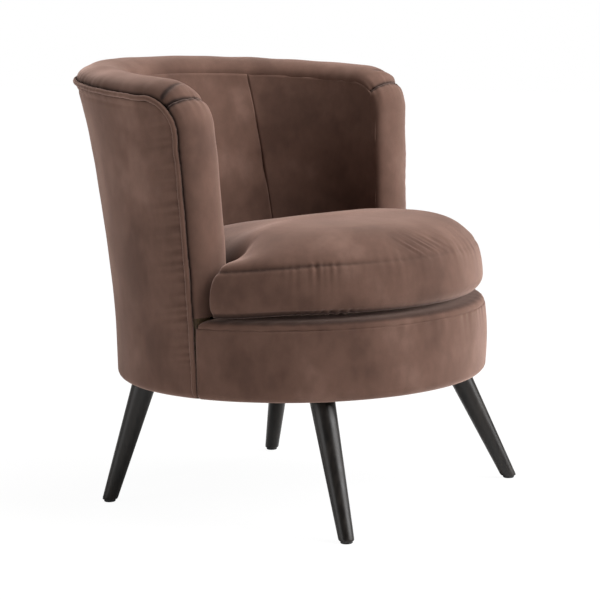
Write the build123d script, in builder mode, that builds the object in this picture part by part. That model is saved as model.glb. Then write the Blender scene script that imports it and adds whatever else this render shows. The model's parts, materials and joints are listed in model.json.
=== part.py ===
"""Round tub armchair: a drum base on four splayed legs, a flared wrap-round back and a loose seat cushion.

The chair faces -Y and +Z is up. Shapes are drawn about the drum's upright axis and moved at the end, so that
the origin is the floor point under the middle of the chair's outline. Lengths are in millimetres.
"""

import os
from math import atan, atan2, cos, radians, sin, sqrt

from build123d import *

# Drum and flared wall
DRUM_RADIUS = 320.0
DRUM_BOTTOM = 216.0
DRUM_EDGE = 14.0
BORDER_SEAM = 334.0
LIP_RISE = 16.0
FLARE = 23.0
RECLINE = 37.0
FLARE_SPAN = 499.0
WALL_REACH = 97.0
WALL_SECTIONS = 13

# Layers of the wall, from the outside in
FABRIC = 1.5
WADDING = 8.0
BOARD = 3.0
POST_DEPTH = 32.0
BACK_FOAM = 40.0
LAYER_GAP = 0.5
INSIDE_SEAM_TOP = 37.0
INSIDE_SEAM_BOTTOM = 46.0

# Rolled edge along the arm fronts and the top of the back
ROLL_LINE = 703.0
TOP_SLOPE = 0.089
FRONT_LOW = -17.0
FRONT_LEAN = 0.03
CORNER_RADIUS = 60.0
TOP_ROLL_RISE = 27.0
FRONT_ROLL_RISE = 20.0
PIPING_RADIUS = 4.0
PIPING_PROUD = 2.5

# Timber frame
RING_THICKNESS = 18.0
RING_OPENING = 198.0
SEAT_RING_DROP = 16.0
STUD_WIDTH = 44.0
STUD_ANGLES = (0.0, 72.0, 108.0, 180.0, 252.0, 288.0)
POST_HALF_ANGLE = 4.0
BACK_POST_ANGLES = (-60.0, -30.0, 0.0, 30.0, 60.0)
ARM_POST_WIDTH = 62.0
RAIL_HEIGHT = 24.0

# Seat straps
STRAP_WIDTH = 60.0
STRAP_THICKNESS = 2.0
STRAP_OFFSETS = (-95.0, 0.0, 95.0)
STRAP_LANDING = 24.0
STRAP_STEP = 12.0

# Legs and their fixings
LEG_INSET_X = 101.0
LEG_INSET_Y = 123.0
FRONT_SPLAY_X = 59.0
FRONT_SPLAY_Y = 84.0
REAR_SPLAY_X = 37.0
REAR_SPLAY_Y = 61.0
LEG_TOP_RADIUS = 21.0
LEG_FOOT_RADIUS = 12.5
LEG_HOLE_MARGIN = 2.5
GLIDE_RADIUS = 10.0
GLIDE_HEIGHT = 4.0
BOLT_RADIUS = 4.0
BOLT_DEPTH = 40.0
BOLT_CLEARANCE = 0.2
T_NUT_BARREL = 6.0
T_NUT_LENGTH = 14.0
T_NUT_FLANGE = 11.0
T_NUT_PLATE = 1.5
SCREW_RADIUS = 2.0
SCREW_HEAD = 4.0
SCREW_HEAD_HEIGHT = 2.4
SCREW_LENGTH = 40.0
SCREW_CLEARANCE = 0.15

# Loose seat cushion and its zip
CUSHION_SETBACK = 2.0
CUSHION_GAP = 1.0
CUSHION_CORNER = 34.0
CUSHION_LEVELS = (
    (0.0, 16.0),
    (7.0, 5.0),
    (32.0, 0.0),
    (82.0, 5.0),
    (104.0, 19.0),
    (121.0, 42.0),
    (129.0, 90.0),
)
SHOULDER_SHARE = 0.5
CUSHION_SKIN = 2.0
CORE_GAP = 1.0
ZIP_RISE = 32.0
ZIP_WINDOW = 24.0
ZIP_HALF_ANGLE = 66.0
ZIP_TAPE_HEIGHT = 30.0
ZIP_TAPE_SETBACK = 4.4
ZIP_TAPE = 1.0
ZIP_TEETH = 1.6
ZIP_TEETH_HEIGHT = 5.0
ZIP_CLEARANCE = 0.3
SLIDER_ANGLE = 60.0
SLIDER_HALF_ANGLE = 1.6
SLIDER_HEIGHT = 9.0
SLIDER_THICKNESS = 3.2

# Depths of each layer below the wall's outer face, as (outer, inner)
COVER = (0.0, FABRIC)
WADDING_LAYER = (COVER[1] + LAYER_GAP, COVER[1] + LAYER_GAP + WADDING)
OUTER_BOARD = (WADDING_LAYER[1] + LAYER_GAP, WADDING_LAYER[1] + LAYER_GAP + BOARD)
POSTS = (OUTER_BOARD[1] + LAYER_GAP, OUTER_BOARD[1] + LAYER_GAP + POST_DEPTH)
INNER_BOARD = (POSTS[1] + LAYER_GAP, POSTS[1] + LAYER_GAP + BOARD)
FOAM = (INNER_BOARD[1] + LAYER_GAP, INNER_BOARD[1] + LAYER_GAP + BACK_FOAM)
INNER_COVER = (FOAM[1] + LAYER_GAP, FOAM[1] + LAYER_GAP + FABRIC)
WALL = INNER_COVER[1]
FRAME_RADIUS = DRUM_RADIUS - POSTS[0]

# Heights and edges that follow from the sizes above
DRUM_TOP = BORDER_SEAM + LIP_RISE
SEAT_RING_TOP = BORDER_SEAM - SEAT_RING_DROP
DUST_COVER_TOP = DRUM_BOTTOM + FABRIC
BASE_RING_BOTTOM = DUST_COVER_TOP
BASE_RING_TOP = BASE_RING_BOTTOM + RING_THICKNESS
SEAT_RING_BOTTOM = SEAT_RING_TOP - RING_THICKNESS
WALL_FOOT = SEAT_RING_TOP + LAYER_GAP
WADDING_FOOT = DRUM_BOTTOM + DRUM_EDGE + LAYER_GAP
BOARD_FOOT = DUST_COVER_TOP + 2 * LAYER_GAP
UPPER_STRAP_BOTTOM = SEAT_RING_TOP + STRAP_THICKNESS + LAYER_GAP
DECK_PAD_BOTTOM = UPPER_STRAP_BOTTOM + STRAP_THICKNESS + LAYER_GAP
DECK_PAD_TOP = DRUM_TOP - FABRIC - LAYER_GAP
COVER_RETURN = DRUM_RADIUS - DRUM_EDGE - 2 * LAYER_GAP
DECK_NECK = DRUM_RADIUS - WALL - LAYER_GAP
FRONT_CUT = FRONT_LOW - LAYER_GAP
PIPING_BAND = 2 * PIPING_RADIUS + 2 * LAYER_GAP
CUSHION_BOTTOM = DRUM_TOP + LAYER_GAP
CUSHION_FRONT = DRUM_RADIUS - CUSHION_SETBACK
CUSHION_NECK = DRUM_RADIUS - WALL - CUSHION_GAP
CUSHION_SHOULDER = FRONT_LOW - FRONT_ROLL_RISE - CUSHION_GAP
WALL_CEILING = ROLL_LINE + TOP_SLOPE * (DRUM_RADIUS + FLARE + RECLINE) + TOP_ROLL_RISE
STUD_RADIUS = FRAME_RADIUS - STUD_WIDTH / 2 - DRUM_EDGE / 4
POST_RADIUS = FRAME_RADIUS - POST_DEPTH / 2
LEG_TOP_X = FRAME_RADIUS - LEG_INSET_X
LEG_TOP_Y = FRAME_RADIUS - LEG_INSET_Y
ZIP_MIDDLE = CUSHION_BOTTOM + ZIP_RISE
TAPE_OUTER = CUSHION_NECK - ZIP_TAPE_SETBACK
TEETH_OUTER = TAPE_OUTER + ZIP_TEETH
CORNER_NORMAL_TOP = atan(TOP_SLOPE)
CORNER_NORMAL_FRONT = radians(90) - atan(FRONT_LEAN)

pieces = {}


def keep(part, name):
    """Files a finished piece under its name."""
    part.label = name
    pieces[name] = part


def wall_radius(turn, height, depth):
    """Distance from the axis to the wall, at an angle from straight back and a depth below its face."""
    rise = (height - DRUM_BOTTOM) / FLARE_SPAN
    return DRUM_RADIUS + rise**2 * (FLARE + RECLINE * cos(turn)) - depth


def wall_edge(turn, depth, low, high):
    """Control points of the wall's parabola between two heights."""
    start = wall_radius(turn, low, depth)
    slope = 2 * (low - DRUM_BOTTOM) / FLARE_SPAN**2 * (FLARE + RECLINE * cos(turn))
    bend = start + slope * (high - low) / 2
    return (start, low), (bend, (low + high) / 2), (wall_radius(turn, high, depth), high)


def radial_plane(turn):
    """Upright plane through the axis: local x points outwards and local y up."""
    return Plane(origin=(0, 0, 0), x_dir=(sin(turn), cos(turn), 0), z_dir=(cos(turn), -sin(turn), 0))


def wall_sector(depths, low, first, last, sections):
    """Curved slab of the wall from a height up past its top, between two angles in degrees."""
    with BuildPart() as slab:
        for index in range(sections):
            turn = radians(first + (last - first) * index / (sections - 1))
            with BuildSketch(radial_plane(turn)):
                with BuildLine():
                    outer = Bezier(*wall_edge(turn, depths[0], low, WALL_CEILING))
                    inner = Bezier(*wall_edge(turn, depths[1], low, WALL_CEILING))
                    Line(outer @ 0, inner @ 0)
                    Line(outer @ 1, inner @ 1)
                make_face()
        loft()
    return slab.part


def whole_wall(depths, low):
    """Slab from arm to arm, longer and taller than the chair needs, ready to be trimmed."""
    return wall_sector(depths, low, -WALL_REACH, WALL_REACH, WALL_SECTIONS)


def outer_cover_wall():
    """Slab like the others for the outside cover, with its rounded bottom edge turned under."""
    low = DRUM_BOTTOM + DRUM_EDGE
    slant = DRUM_EDGE * (1 - sqrt(0.5))
    lining = DRUM_EDGE - FABRIC
    with BuildPart() as slab:
        for index in range(WALL_SECTIONS):
            turn = radians(WALL_REACH * (2 * index / (WALL_SECTIONS - 1) - 1))
            with BuildSketch(radial_plane(turn)):
                with BuildLine():
                    outer = Bezier(*wall_edge(turn, COVER[0], low, WALL_CEILING))
                    inner = Bezier(*wall_edge(turn, COVER[1], low, WALL_CEILING))
                    Line(outer @ 1, inner @ 1)
                    face = outer @ 0
                    middle = (face.X - slant, DRUM_BOTTOM + slant)
                    under = (face.X - DRUM_EDGE, DRUM_BOTTOM)
                    ThreePointArc(outer @ 0, middle, under)
                    reach = lining * (1 - sqrt(0.5))
                    inner_middle = (face.X - FABRIC - reach, DUST_COVER_TOP + reach)
                    inner_under = (face.X - DRUM_EDGE, DUST_COVER_TOP)
                    ThreePointArc(inner @ 0, inner_middle, inner_under)
                    Line(under, inner_under)
                make_face()
        loft()
    return slab.part


def front_line(height, inset):
    """Y of the arm's front line at a height, set back by an inset."""
    return FRONT_LOW + FRONT_LEAN * (height - DRUM_BOTTOM) + inset


def top_line(y, inset):
    """Height of the back's top line at a Y, lowered by an inset."""
    return ROLL_LINE + TOP_SLOPE * y - inset


def meeting_point(inset):
    """Y and Z where the arm's front line meets the back's top line."""
    y = (front_line(ROLL_LINE, inset) - FRONT_LEAN * inset) / (1 - FRONT_LEAN * TOP_SLOPE)
    return y, top_line(y, inset)


def arm_outline(inset):
    """Block whose side view is the back and arms, drawn in from the rolled edge by an inset."""
    far = 2 * DRUM_RADIUS
    corner = meeting_point(inset)
    with BuildPart() as block:
        with BuildSketch(Plane.YZ) as side:
            with BuildLine():
                Polyline((front_line(0, inset), 0), corner, (far, top_line(far, inset)), (far, 0), close=True)
            make_face()
            fillet(side.vertices().sort_by_distance((corner[0], corner[1], 0))[0], CORNER_RADIUS - inset)
        extrude(amount=far, both=True)
    return block.part


def half_space(y, behind):
    """Block that holds everything behind or in front of an upright plane across the chair."""
    size = 4 * DRUM_RADIUS
    with BuildPart() as block:
        with Locations((0, y + (size / 2 if behind else -size / 2), DRUM_TOP)):
            Box(size, size, size)
    return block.part


def corner_centre():
    """Y and Z of the middle of the rolled edge's corner."""
    front_shift = CORNER_RADIUS * sqrt(1 + FRONT_LEAN**2)
    top_shift = CORNER_RADIUS * sqrt(1 + TOP_SLOPE**2)
    y = FRONT_LOW + FRONT_LEAN * (ROLL_LINE - top_shift - DRUM_BOTTOM) + front_shift
    y = y / (1 - FRONT_LEAN * TOP_SLOPE)
    return y, ROLL_LINE + TOP_SLOPE * y - top_shift


def edge_frame(side, y, z, normal):
    """Section plane of the rolled edge at a point of its side view: local x outwards, local y off the edge."""
    turn = atan2(DRUM_RADIUS, y)
    for _ in range(8):
        radius = wall_radius(turn, z, WALL / 2)
        turn = atan2(sqrt(radius**2 - y**2), y)
    return section_frame(side * turn, radius, z, normal)


def section_frame(turn, radius, z, normal):
    """Section plane of the rolled edge at a known place."""
    outward = Vector(sin(turn), cos(turn), 0)
    off_edge = Vector(0, -sin(normal), cos(normal))
    across = outward - off_edge * outward.dot(off_edge)
    across = across.normalized()
    return Plane(origin=outward * radius + Vector(0, 0, z), x_dir=across, z_dir=across.cross(off_edge))


def front_stations(side, low, count):
    """Section planes and rises up one arm's front, from a height to the start of the corner."""
    high = corner_centre()[1] + CORNER_RADIUS * cos(CORNER_NORMAL_FRONT)
    stations = []
    for index in range(count):
        z = low + (high - low) * index / (count - 1)
        stations.append((edge_frame(side, front_line(z, 0), z, CORNER_NORMAL_FRONT), FRONT_ROLL_RISE))
    return stations


def corner_stations(side, start, end, count):
    """Section planes and rises round one corner, between two shares of the turn from front to top."""
    centre_y, centre_z = corner_centre()
    stations = []
    for index in range(count):
        share = start + (end - start) * index / (count - 1)
        normal = CORNER_NORMAL_FRONT + (CORNER_NORMAL_TOP - CORNER_NORMAL_FRONT) * share
        y = centre_y - CORNER_RADIUS * sin(normal)
        z = centre_z + CORNER_RADIUS * cos(normal)
        rise = FRONT_ROLL_RISE + (TOP_ROLL_RISE - FRONT_ROLL_RISE) * share
        stations.append((edge_frame(side, y, z, normal), rise))
    return stations


def top_stations(count):
    """Section planes and rises along the top of the back, between the two corners."""
    end_y = corner_centre()[0] - CORNER_RADIUS * sin(CORNER_NORMAL_TOP)
    edge = edge_frame(1, end_y, top_line(end_y, 0), CORNER_NORMAL_TOP).origin
    end = atan2(edge.X, edge.Y)
    stations = []
    for index in range(count):
        turn = end * (2 * index / (count - 1) - 1)
        z = ROLL_LINE
        for _ in range(8):
            radius = wall_radius(turn, z, WALL / 2)
            z = top_line(radius * cos(turn), 0)
        stations.append((section_frame(turn, radius, z, CORNER_NORMAL_TOP), TOP_ROLL_RISE))
    return stations


def roll_pad(stations):
    """Foam roll with an arched section."""
    half = WALL / 2 - FABRIC - 2 * LAYER_GAP
    with BuildPart() as roll:
        for frame, rise in stations:
            with BuildSketch(frame):
                with BuildLine():
                    arch = ThreePointArc((-half, 0), (0, rise - FABRIC - LAYER_GAP), (half, 0))
                    Line(arch @ 0, arch @ 1)
                make_face()
        loft()
    return roll.part


def roll_cover(stations):
    """Fabric arch over the foam roll."""
    half = WALL / 2
    with BuildPart() as cover:
        for frame, rise in stations:
            with BuildSketch(frame):
                with BuildLine():
                    outer = ThreePointArc((-half, 0), (0, rise), (half, 0))
                    inner = ThreePointArc((FABRIC - half, 0), (0, rise - FABRIC), (half - FABRIC, 0))
                    Line(outer @ 0, inner @ 0)
                    Line(outer @ 1, inner @ 1)
                make_face()
        loft()
    return cover.part


def piping_cord(stations):
    """Corded welt tucked under the outer end of the rolled edge."""
    across = WALL / 2 - PIPING_RADIUS + PIPING_PROUD
    with BuildPart() as cord:
        for frame, _ in stations:
            with BuildSketch(frame):
                with Locations((across, -PIPING_RADIUS - LAYER_GAP)):
                    Circle(PIPING_RADIUS)
        loft()
    return cord.part


def ring_sector(inner, outer, low, high, first, last):
    """Upright ring segment between two angles from straight back, in degrees."""
    with BuildPart() as ring:
        with BuildSketch(Plane.XZ):
            with Locations(((inner + outer) / 2, (low + high) / 2)):
                Rectangle(outer - inner, high - low)
        revolve(axis=Axis.Z, revolution_arc=last - first)
    return ring.part.rotate(Axis.Z, 90 - last)


def tee_sketch(front, neck, shoulder, corner):
    """Plan of the seat: a wide round front with two ears, and a narrower round rear between the arms."""
    ear_y = shoulder - corner
    ear_x = sqrt((front - corner) ** 2 - ear_y**2)
    share = front / (front - corner)
    start = (ear_x * share, ear_y * share)
    halfway = (atan2(ear_y, ear_x) + radians(90)) / 2
    bend = (ear_x + corner * cos(halfway), ear_y + corner * sin(halfway))
    root = (sqrt(neck**2 - shoulder**2), shoulder)
    swing = (atan2(-front, 0) + atan2(start[1], start[0])) / 2
    rear = (atan2(root[1], root[0]) + radians(90)) / 2
    with BuildSketch() as plan:
        with BuildLine():
            ThreePointArc((0, -front), (front * cos(swing), front * sin(swing)), start)
            ThreePointArc(start, bend, (ear_x, shoulder))
            Line((ear_x, shoulder), root)
            ThreePointArc(root, (neck * cos(rear), neck * sin(rear)), (0, neck))
            ThreePointArc((0, neck), (-neck * cos(rear), neck * sin(rear)), (-root[0], root[1]))
            Line((-root[0], root[1]), (-ear_x, shoulder))
            ThreePointArc((-ear_x, shoulder), (-bend[0], bend[1]), (-start[0], start[1]))
            ThreePointArc((-start[0], start[1]), (-front * cos(swing), front * sin(swing)), (0, -front))
        make_face()
    return plan.sketch


def deck_block(front, neck, shoulder, low, high, edge):
    """Flat seat layer in plan with ears, with its front top edge rounded."""
    with BuildPart() as deck:
        with BuildSketch(Plane.XY.offset(low)):
            with Locations((0, 0)):
                Circle(front)
        extrude(amount=high - low)
        fillet(deck.edges().group_by(Axis.Z)[-1], edge)
        with BuildSketch(Plane.XY.offset(low)):
            Rectangle(2 * front, 2 * front)
            with Locations((0, shoulder - 2 * front)):
                Rectangle(4 * front, 4 * front, mode=Mode.SUBTRACT)
            Circle(neck, mode=Mode.SUBTRACT)
        extrude(amount=high - low, mode=Mode.SUBTRACT)
    return deck.part


def cushion_solid(inset):
    """Crowned seat cushion with drawn-in seams, shrunk all round by an inset."""
    with BuildPart() as cushion:
        for rise, draw in CUSHION_LEVELS:
            lift = rise + inset if rise == 0 else rise - inset * rise / CUSHION_LEVELS[-1][0]
            shoulder = CUSHION_SHOULDER - SHOULDER_SHARE * draw - inset
            corner = CUSHION_CORNER
            with BuildSketch(Plane.XY.offset(CUSHION_BOTTOM + lift)):
                add(tee_sketch(CUSHION_FRONT - draw - inset, CUSHION_NECK - draw - inset, shoulder, corner))
        loft()
    return cushion.part


def countersunk_screw():
    """Wood screw with its head at the origin, pointing up."""
    with BuildPart() as screw:
        with BuildSketch(Plane.XZ):
            Polygon(
                (0, 0),
                (SCREW_HEAD, 0),
                (SCREW_RADIUS, SCREW_HEAD_HEIGHT),
                (SCREW_RADIUS, SCREW_LENGTH - SCREW_RADIUS),
                (0, SCREW_LENGTH),
                align=None,
            )
        revolve(axis=Axis.Z)
    return screw.part


def screw_hole():
    """Room for one screw, a clearance larger all round."""
    with BuildPart() as hole:
        with BuildSketch(Plane.XZ):
            Polygon(
                (0, 0),
                (SCREW_HEAD + SCREW_CLEARANCE, 0),
                (SCREW_RADIUS + SCREW_CLEARANCE, SCREW_HEAD_HEIGHT),
                (SCREW_RADIUS + SCREW_CLEARANCE, SCREW_LENGTH),
                (0, SCREW_LENGTH + SCREW_CLEARANCE),
                align=None,
            )
        revolve(axis=Axis.Z)
    return hole.part


def around(radius, angles):
    """Plan positions on a circle, at angles from straight back in degrees."""
    return [(radius * sin(radians(a)), radius * cos(radians(a))) for a in angles]


LEG_PLACES = {}
for end, way, splay_x, splay_y in (("front", -1, FRONT_SPLAY_X, FRONT_SPLAY_Y), ("rear", 1, REAR_SPLAY_X, REAR_SPLAY_Y)):
    for hand, side in (("left", 1), ("right", -1)):
        top = (side * LEG_TOP_X, way * LEG_TOP_Y)
        LEG_PLACES[f"{end}_{hand}"] = (*top, top[0] + side * splay_x, top[1] + way * splay_y)
LEG_TOPS = [place[:2] for place in LEG_PLACES.values()]
ARM_POST_Y = FRONT_LOW + ARM_POST_WIDTH
arm_post_angle = 90 - ARM_POST_WIDTH / 2 / POST_RADIUS * 57.3 + 4.0
POST_SCREW_ANGLES = BACK_POST_ANGLES + (-arm_post_angle, arm_post_angle)
screw = countersunk_screw()
hole = screw_hole()

# Base ring with the leg sleeves' holes and the stud screws' holes
with BuildPart() as base_ring:
    with BuildSketch(Plane.XY.offset(BASE_RING_BOTTOM)):
        Circle(FRAME_RADIUS)
        Circle(RING_OPENING, mode=Mode.SUBTRACT)
        with Locations(*LEG_TOPS):
            Circle(T_NUT_BARREL + BOLT_CLEARANCE, mode=Mode.SUBTRACT)
    extrude(amount=RING_THICKNESS)
    for x, y in around(STUD_RADIUS, STUD_ANGLES):
        add(hole.moved(Location((x, y, BASE_RING_BOTTOM))), mode=Mode.SUBTRACT)
keep(base_ring.part, "base_ring")

# Seat ring, screwed down to the studs and up into the posts
with BuildPart() as seat_ring:
    with BuildSketch(Plane.XY.offset(SEAT_RING_BOTTOM)):
        Circle(FRAME_RADIUS)
        Circle(RING_OPENING, mode=Mode.SUBTRACT)
    extrude(amount=RING_THICKNESS)
    for x, y in around(STUD_RADIUS, STUD_ANGLES):
        add(hole.moved(Location((x, y, SEAT_RING_TOP), (180, 0, 0))), mode=Mode.SUBTRACT)
    for x, y in around(POST_RADIUS, POST_SCREW_ANGLES):
        add(hole.moved(Location((x, y, SEAT_RING_BOTTOM))), mode=Mode.SUBTRACT)
keep(seat_ring.part, "seat_ring")

# Studs between the two rings
for index, angle in enumerate(STUD_ANGLES):
    x, y = around(STUD_RADIUS, (angle,))[0]
    with BuildPart() as stud:
        with Locations(Location((x, y, (BASE_RING_TOP + SEAT_RING_BOTTOM) / 2), (0, 0, -angle))):
            Box(STUD_WIDTH, STUD_WIDTH, SEAT_RING_BOTTOM - BASE_RING_TOP)
        add(hole.moved(Location((x, y, BASE_RING_BOTTOM))), mode=Mode.SUBTRACT)
        add(hole.moved(Location((x, y, SEAT_RING_TOP), (180, 0, 0))), mode=Mode.SUBTRACT)
    keep(stud.part, f"base_stud_{index + 1}")

with BuildPart() as stud_screws:
    for x, y in around(STUD_RADIUS, STUD_ANGLES):
        add(screw.moved(Location((x, y, BASE_RING_BOTTOM))))
        add(screw.moved(Location((x, y, SEAT_RING_TOP), (180, 0, 0))))
keep(stud_screws.part, "stud_screws")

with BuildPart() as post_screws:
    for x, y in around(POST_RADIUS, POST_SCREW_ANGLES):
        add(screw.moved(Location((x, y, SEAT_RING_BOTTOM))))
keep(post_screws.part, "post_screws")

# Posts of the back, under the top rail
rail_outline = arm_outline(LAYER_GAP)
under_rail = arm_outline(LAYER_GAP + RAIL_HEIGHT)
for index, angle in enumerate(BACK_POST_ANGLES):
    x, y = around(POST_RADIUS, (angle,))[0]
    with BuildPart() as back_post:
        add(wall_sector(POSTS, SEAT_RING_TOP, angle - POST_HALF_ANGLE, angle + POST_HALF_ANGLE, 3))
        add(under_rail, mode=Mode.INTERSECT)
        add(hole.moved(Location((x, y, SEAT_RING_BOTTOM))), mode=Mode.SUBTRACT)
    keep(back_post.part, f"back_post_{index + 1}")

# Shaped arm fronts that carry the rounded corners, and the bent rail between them
frame_wall = whole_wall(POSTS, SEAT_RING_TOP)
for side, name in ((1, "left"), (-1, "right")):
    x, y = around(POST_RADIUS, (side * arm_post_angle,))[0]
    with BuildPart() as arm_post:
        add(frame_wall)
        add(rail_outline, mode=Mode.INTERSECT)
        add(half_space(ARM_POST_Y, False), mode=Mode.INTERSECT)
        split(bisect_by=Plane.YZ, keep=Keep.TOP if side > 0 else Keep.BOTTOM)
        add(hole.moved(Location((x, y, SEAT_RING_BOTTOM))), mode=Mode.SUBTRACT)
    keep(arm_post.part, f"arm_post_{name}")

with BuildPart() as top_rail:
    add(frame_wall)
    add(rail_outline, mode=Mode.INTERSECT)
    add(under_rail, mode=Mode.SUBTRACT)
    add(half_space(ARM_POST_Y, True), mode=Mode.INTERSECT)
keep(top_rail.part, "top_rail")

# Liners and padding of the wall
with BuildPart() as outer_back_liner:
    add(whole_wall(OUTER_BOARD, BOARD_FOOT))
    add(rail_outline, mode=Mode.INTERSECT)
keep(outer_back_liner.part, "outer_back_liner")

with BuildPart() as inner_back_board:
    add(whole_wall(INNER_BOARD, WALL_FOOT))
    add(rail_outline, mode=Mode.INTERSECT)
keep(inner_back_board.part, "inner_back_board")

with BuildPart() as inner_back_foam:
    add(whole_wall(FOAM, WALL_FOOT))
    add(rail_outline, mode=Mode.INTERSECT)
keep(inner_back_foam.part, "inner_back_foam")

piping_outline = arm_outline(PIPING_BAND)
with BuildPart() as outer_back_wadding:
    add(whole_wall(WADDING_LAYER, WADDING_FOOT))
    add(piping_outline, mode=Mode.INTERSECT)
keep(outer_back_wadding.part, "outer_back_wadding")

with BuildPart() as outer_back_cover:
    add(outer_cover_wall())
    add(piping_outline, mode=Mode.INTERSECT)
keep(outer_back_cover.part, "outer_back_cover")

# Inside covers, sewn together along two leaning seams
inner_wall = whole_wall(INNER_COVER, WALL_FOOT)
seam_foot_turn = radians(INSIDE_SEAM_BOTTOM)
seam_head_turn = radians(INSIDE_SEAM_TOP)
seam_foot = Vector(sin(seam_foot_turn), cos(seam_foot_turn), 0) * (DRUM_RADIUS - WALL) + Vector(0, 0, DRUM_TOP)
seam_head = Vector(sin(seam_head_turn), cos(seam_head_turn), 0) * (DRUM_RADIUS - WALL) + Vector(0, 0, ROLL_LINE)
seam_out = Vector(sin(seam_foot_turn), cos(seam_foot_turn), 0)
seam_normal = (seam_head - seam_foot).cross(seam_out)
left_seam = Plane(origin=seam_foot, z_dir=seam_normal)
right_seam = Plane(
    origin=(-seam_foot.X, seam_foot.Y, seam_foot.Z),
    z_dir=(-seam_normal.X, seam_normal.Y, seam_normal.Z),
)
with BuildPart() as inside_back_cover:
    add(inner_wall)
    add(rail_outline, mode=Mode.INTERSECT)
    split(bisect_by=left_seam, keep=Keep.TOP if seam_normal.X < 0 else Keep.BOTTOM)
    split(bisect_by=right_seam, keep=Keep.TOP if seam_normal.X < 0 else Keep.BOTTOM)
keep(inside_back_cover.part, "inside_back_cover")

for seam, name in ((left_seam, "left"), (right_seam, "right")):
    with BuildPart() as inside_arm_cover:
        add(inner_wall)
        add(rail_outline, mode=Mode.INTERSECT)
        split(bisect_by=seam, keep=Keep.BOTTOM if seam_normal.X < 0 else Keep.TOP)
    keep(inside_arm_cover.part, f"inside_arm_cover_{name}")

# Rolled edge: foam, its covers and the piping under its outer end, each run joined to the next
top_run = top_stations(17)
with BuildPart() as top_roll_pad:
    add(roll_pad(top_run))
    for side in (1, -1):
        add(roll_pad(corner_stations(side, 0.5, 1.0, 4)))
keep(top_roll_pad.part, "top_roll_pad")

with BuildPart() as top_border_cover:
    add(roll_cover(top_run))
    for side in (1, -1):
        add(roll_cover(corner_stations(side, 0.5, 1.0, 4)))
keep(top_border_cover.part, "top_border_cover")

for side, name in ((1, "left"), (-1, "right")):
    front_run = front_stations(side, DRUM_TOP + LAYER_GAP, 5)
    corner_run = corner_stations(side, 0.0, 0.5, 4)
    with BuildPart() as arm_roll_pad:
        add(roll_pad(front_run))
        add(roll_pad(corner_run))
    keep(arm_roll_pad.part, f"arm_roll_pad_{name}")
    with BuildPart() as arm_facing:
        add(roll_cover(front_run))
        add(roll_cover(corner_run))
    keep(arm_facing.part, f"arm_facing_{name}")

with BuildPart() as piping:
    add(piping_cord(top_run))
    for side in (1, -1):
        add(piping_cord(corner_stations(side, 0.0, 1.0, 7)))
        add(piping_cord(front_stations(side, DUST_COVER_TOP, 6)))
keep(piping.part, "piping")

# Front border of the drum
front_half = half_space(FRONT_CUT, False)
with BuildPart() as front_board:
    add(ring_sector(DRUM_RADIUS - OUTER_BOARD[1], DRUM_RADIUS - OUTER_BOARD[0], BOARD_FOOT, SEAT_RING_TOP, 0, 360))
    add(front_half, mode=Mode.INTERSECT)
keep(front_board.part, "front_board")

with BuildPart() as front_border_wadding:
    add(ring_sector(DRUM_RADIUS - WADDING_LAYER[1], DRUM_RADIUS - WADDING_LAYER[0], WADDING_FOOT, SEAT_RING_TOP, 0, 360))
    add(front_half, mode=Mode.INTERSECT)
keep(front_border_wadding.part, "front_border_wadding")

with BuildPart() as front_border_cover:
    with BuildSketch(Plane.XZ):
        with BuildLine():
            edge_x = DRUM_RADIUS - DRUM_EDGE
            edge_z = DRUM_BOTTOM + DRUM_EDGE
            lining = DRUM_EDGE - FABRIC
            Line((DRUM_RADIUS, BORDER_SEAM), (DRUM_RADIUS, edge_z))
            RadiusArc((DRUM_RADIUS, edge_z), (edge_x, DRUM_BOTTOM), DRUM_EDGE)
            Line((edge_x, DRUM_BOTTOM), (edge_x, DUST_COVER_TOP))
            RadiusArc((edge_x, DUST_COVER_TOP), (DRUM_RADIUS - FABRIC, edge_z), -lining)
            Line((DRUM_RADIUS - FABRIC, edge_z), (DRUM_RADIUS - FABRIC, BORDER_SEAM))
            Line((DRUM_RADIUS - FABRIC, BORDER_SEAM), (DRUM_RADIUS, BORDER_SEAM))
        make_face()
    revolve(axis=Axis.Z)
    add(front_half, mode=Mode.INTERSECT)
keep(front_border_cover.part, "front_border_cover")

# Seat deck: a pad on the straps under a cover whose front lip rolls down to the border seam
lip_bottom = BORDER_SEAM + LAYER_GAP
with BuildPart() as seat_deck_pad:
    add(
        deck_block(
            DRUM_RADIUS - FABRIC - LAYER_GAP,
            DECK_NECK - FABRIC - LAYER_GAP,
            FRONT_CUT - FABRIC - LAYER_GAP,
            DECK_PAD_BOTTOM,
            DECK_PAD_TOP,
            DRUM_EDGE - FABRIC - LAYER_GAP,
        )
    )
keep(seat_deck_pad.part, "seat_deck_pad")

with BuildPart() as seat_deck_cover:
    add(deck_block(DRUM_RADIUS, DECK_NECK, FRONT_CUT, lip_bottom, DRUM_TOP, DRUM_EDGE))
    add(
        deck_block(
            DRUM_RADIUS - FABRIC,
            DECK_NECK - FABRIC,
            FRONT_CUT - FABRIC,
            lip_bottom,
            DRUM_TOP - FABRIC,
            DRUM_EDGE - FABRIC,
        ),
        mode=Mode.SUBTRACT,
    )
keep(seat_deck_cover.part, "seat_deck_cover")

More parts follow.
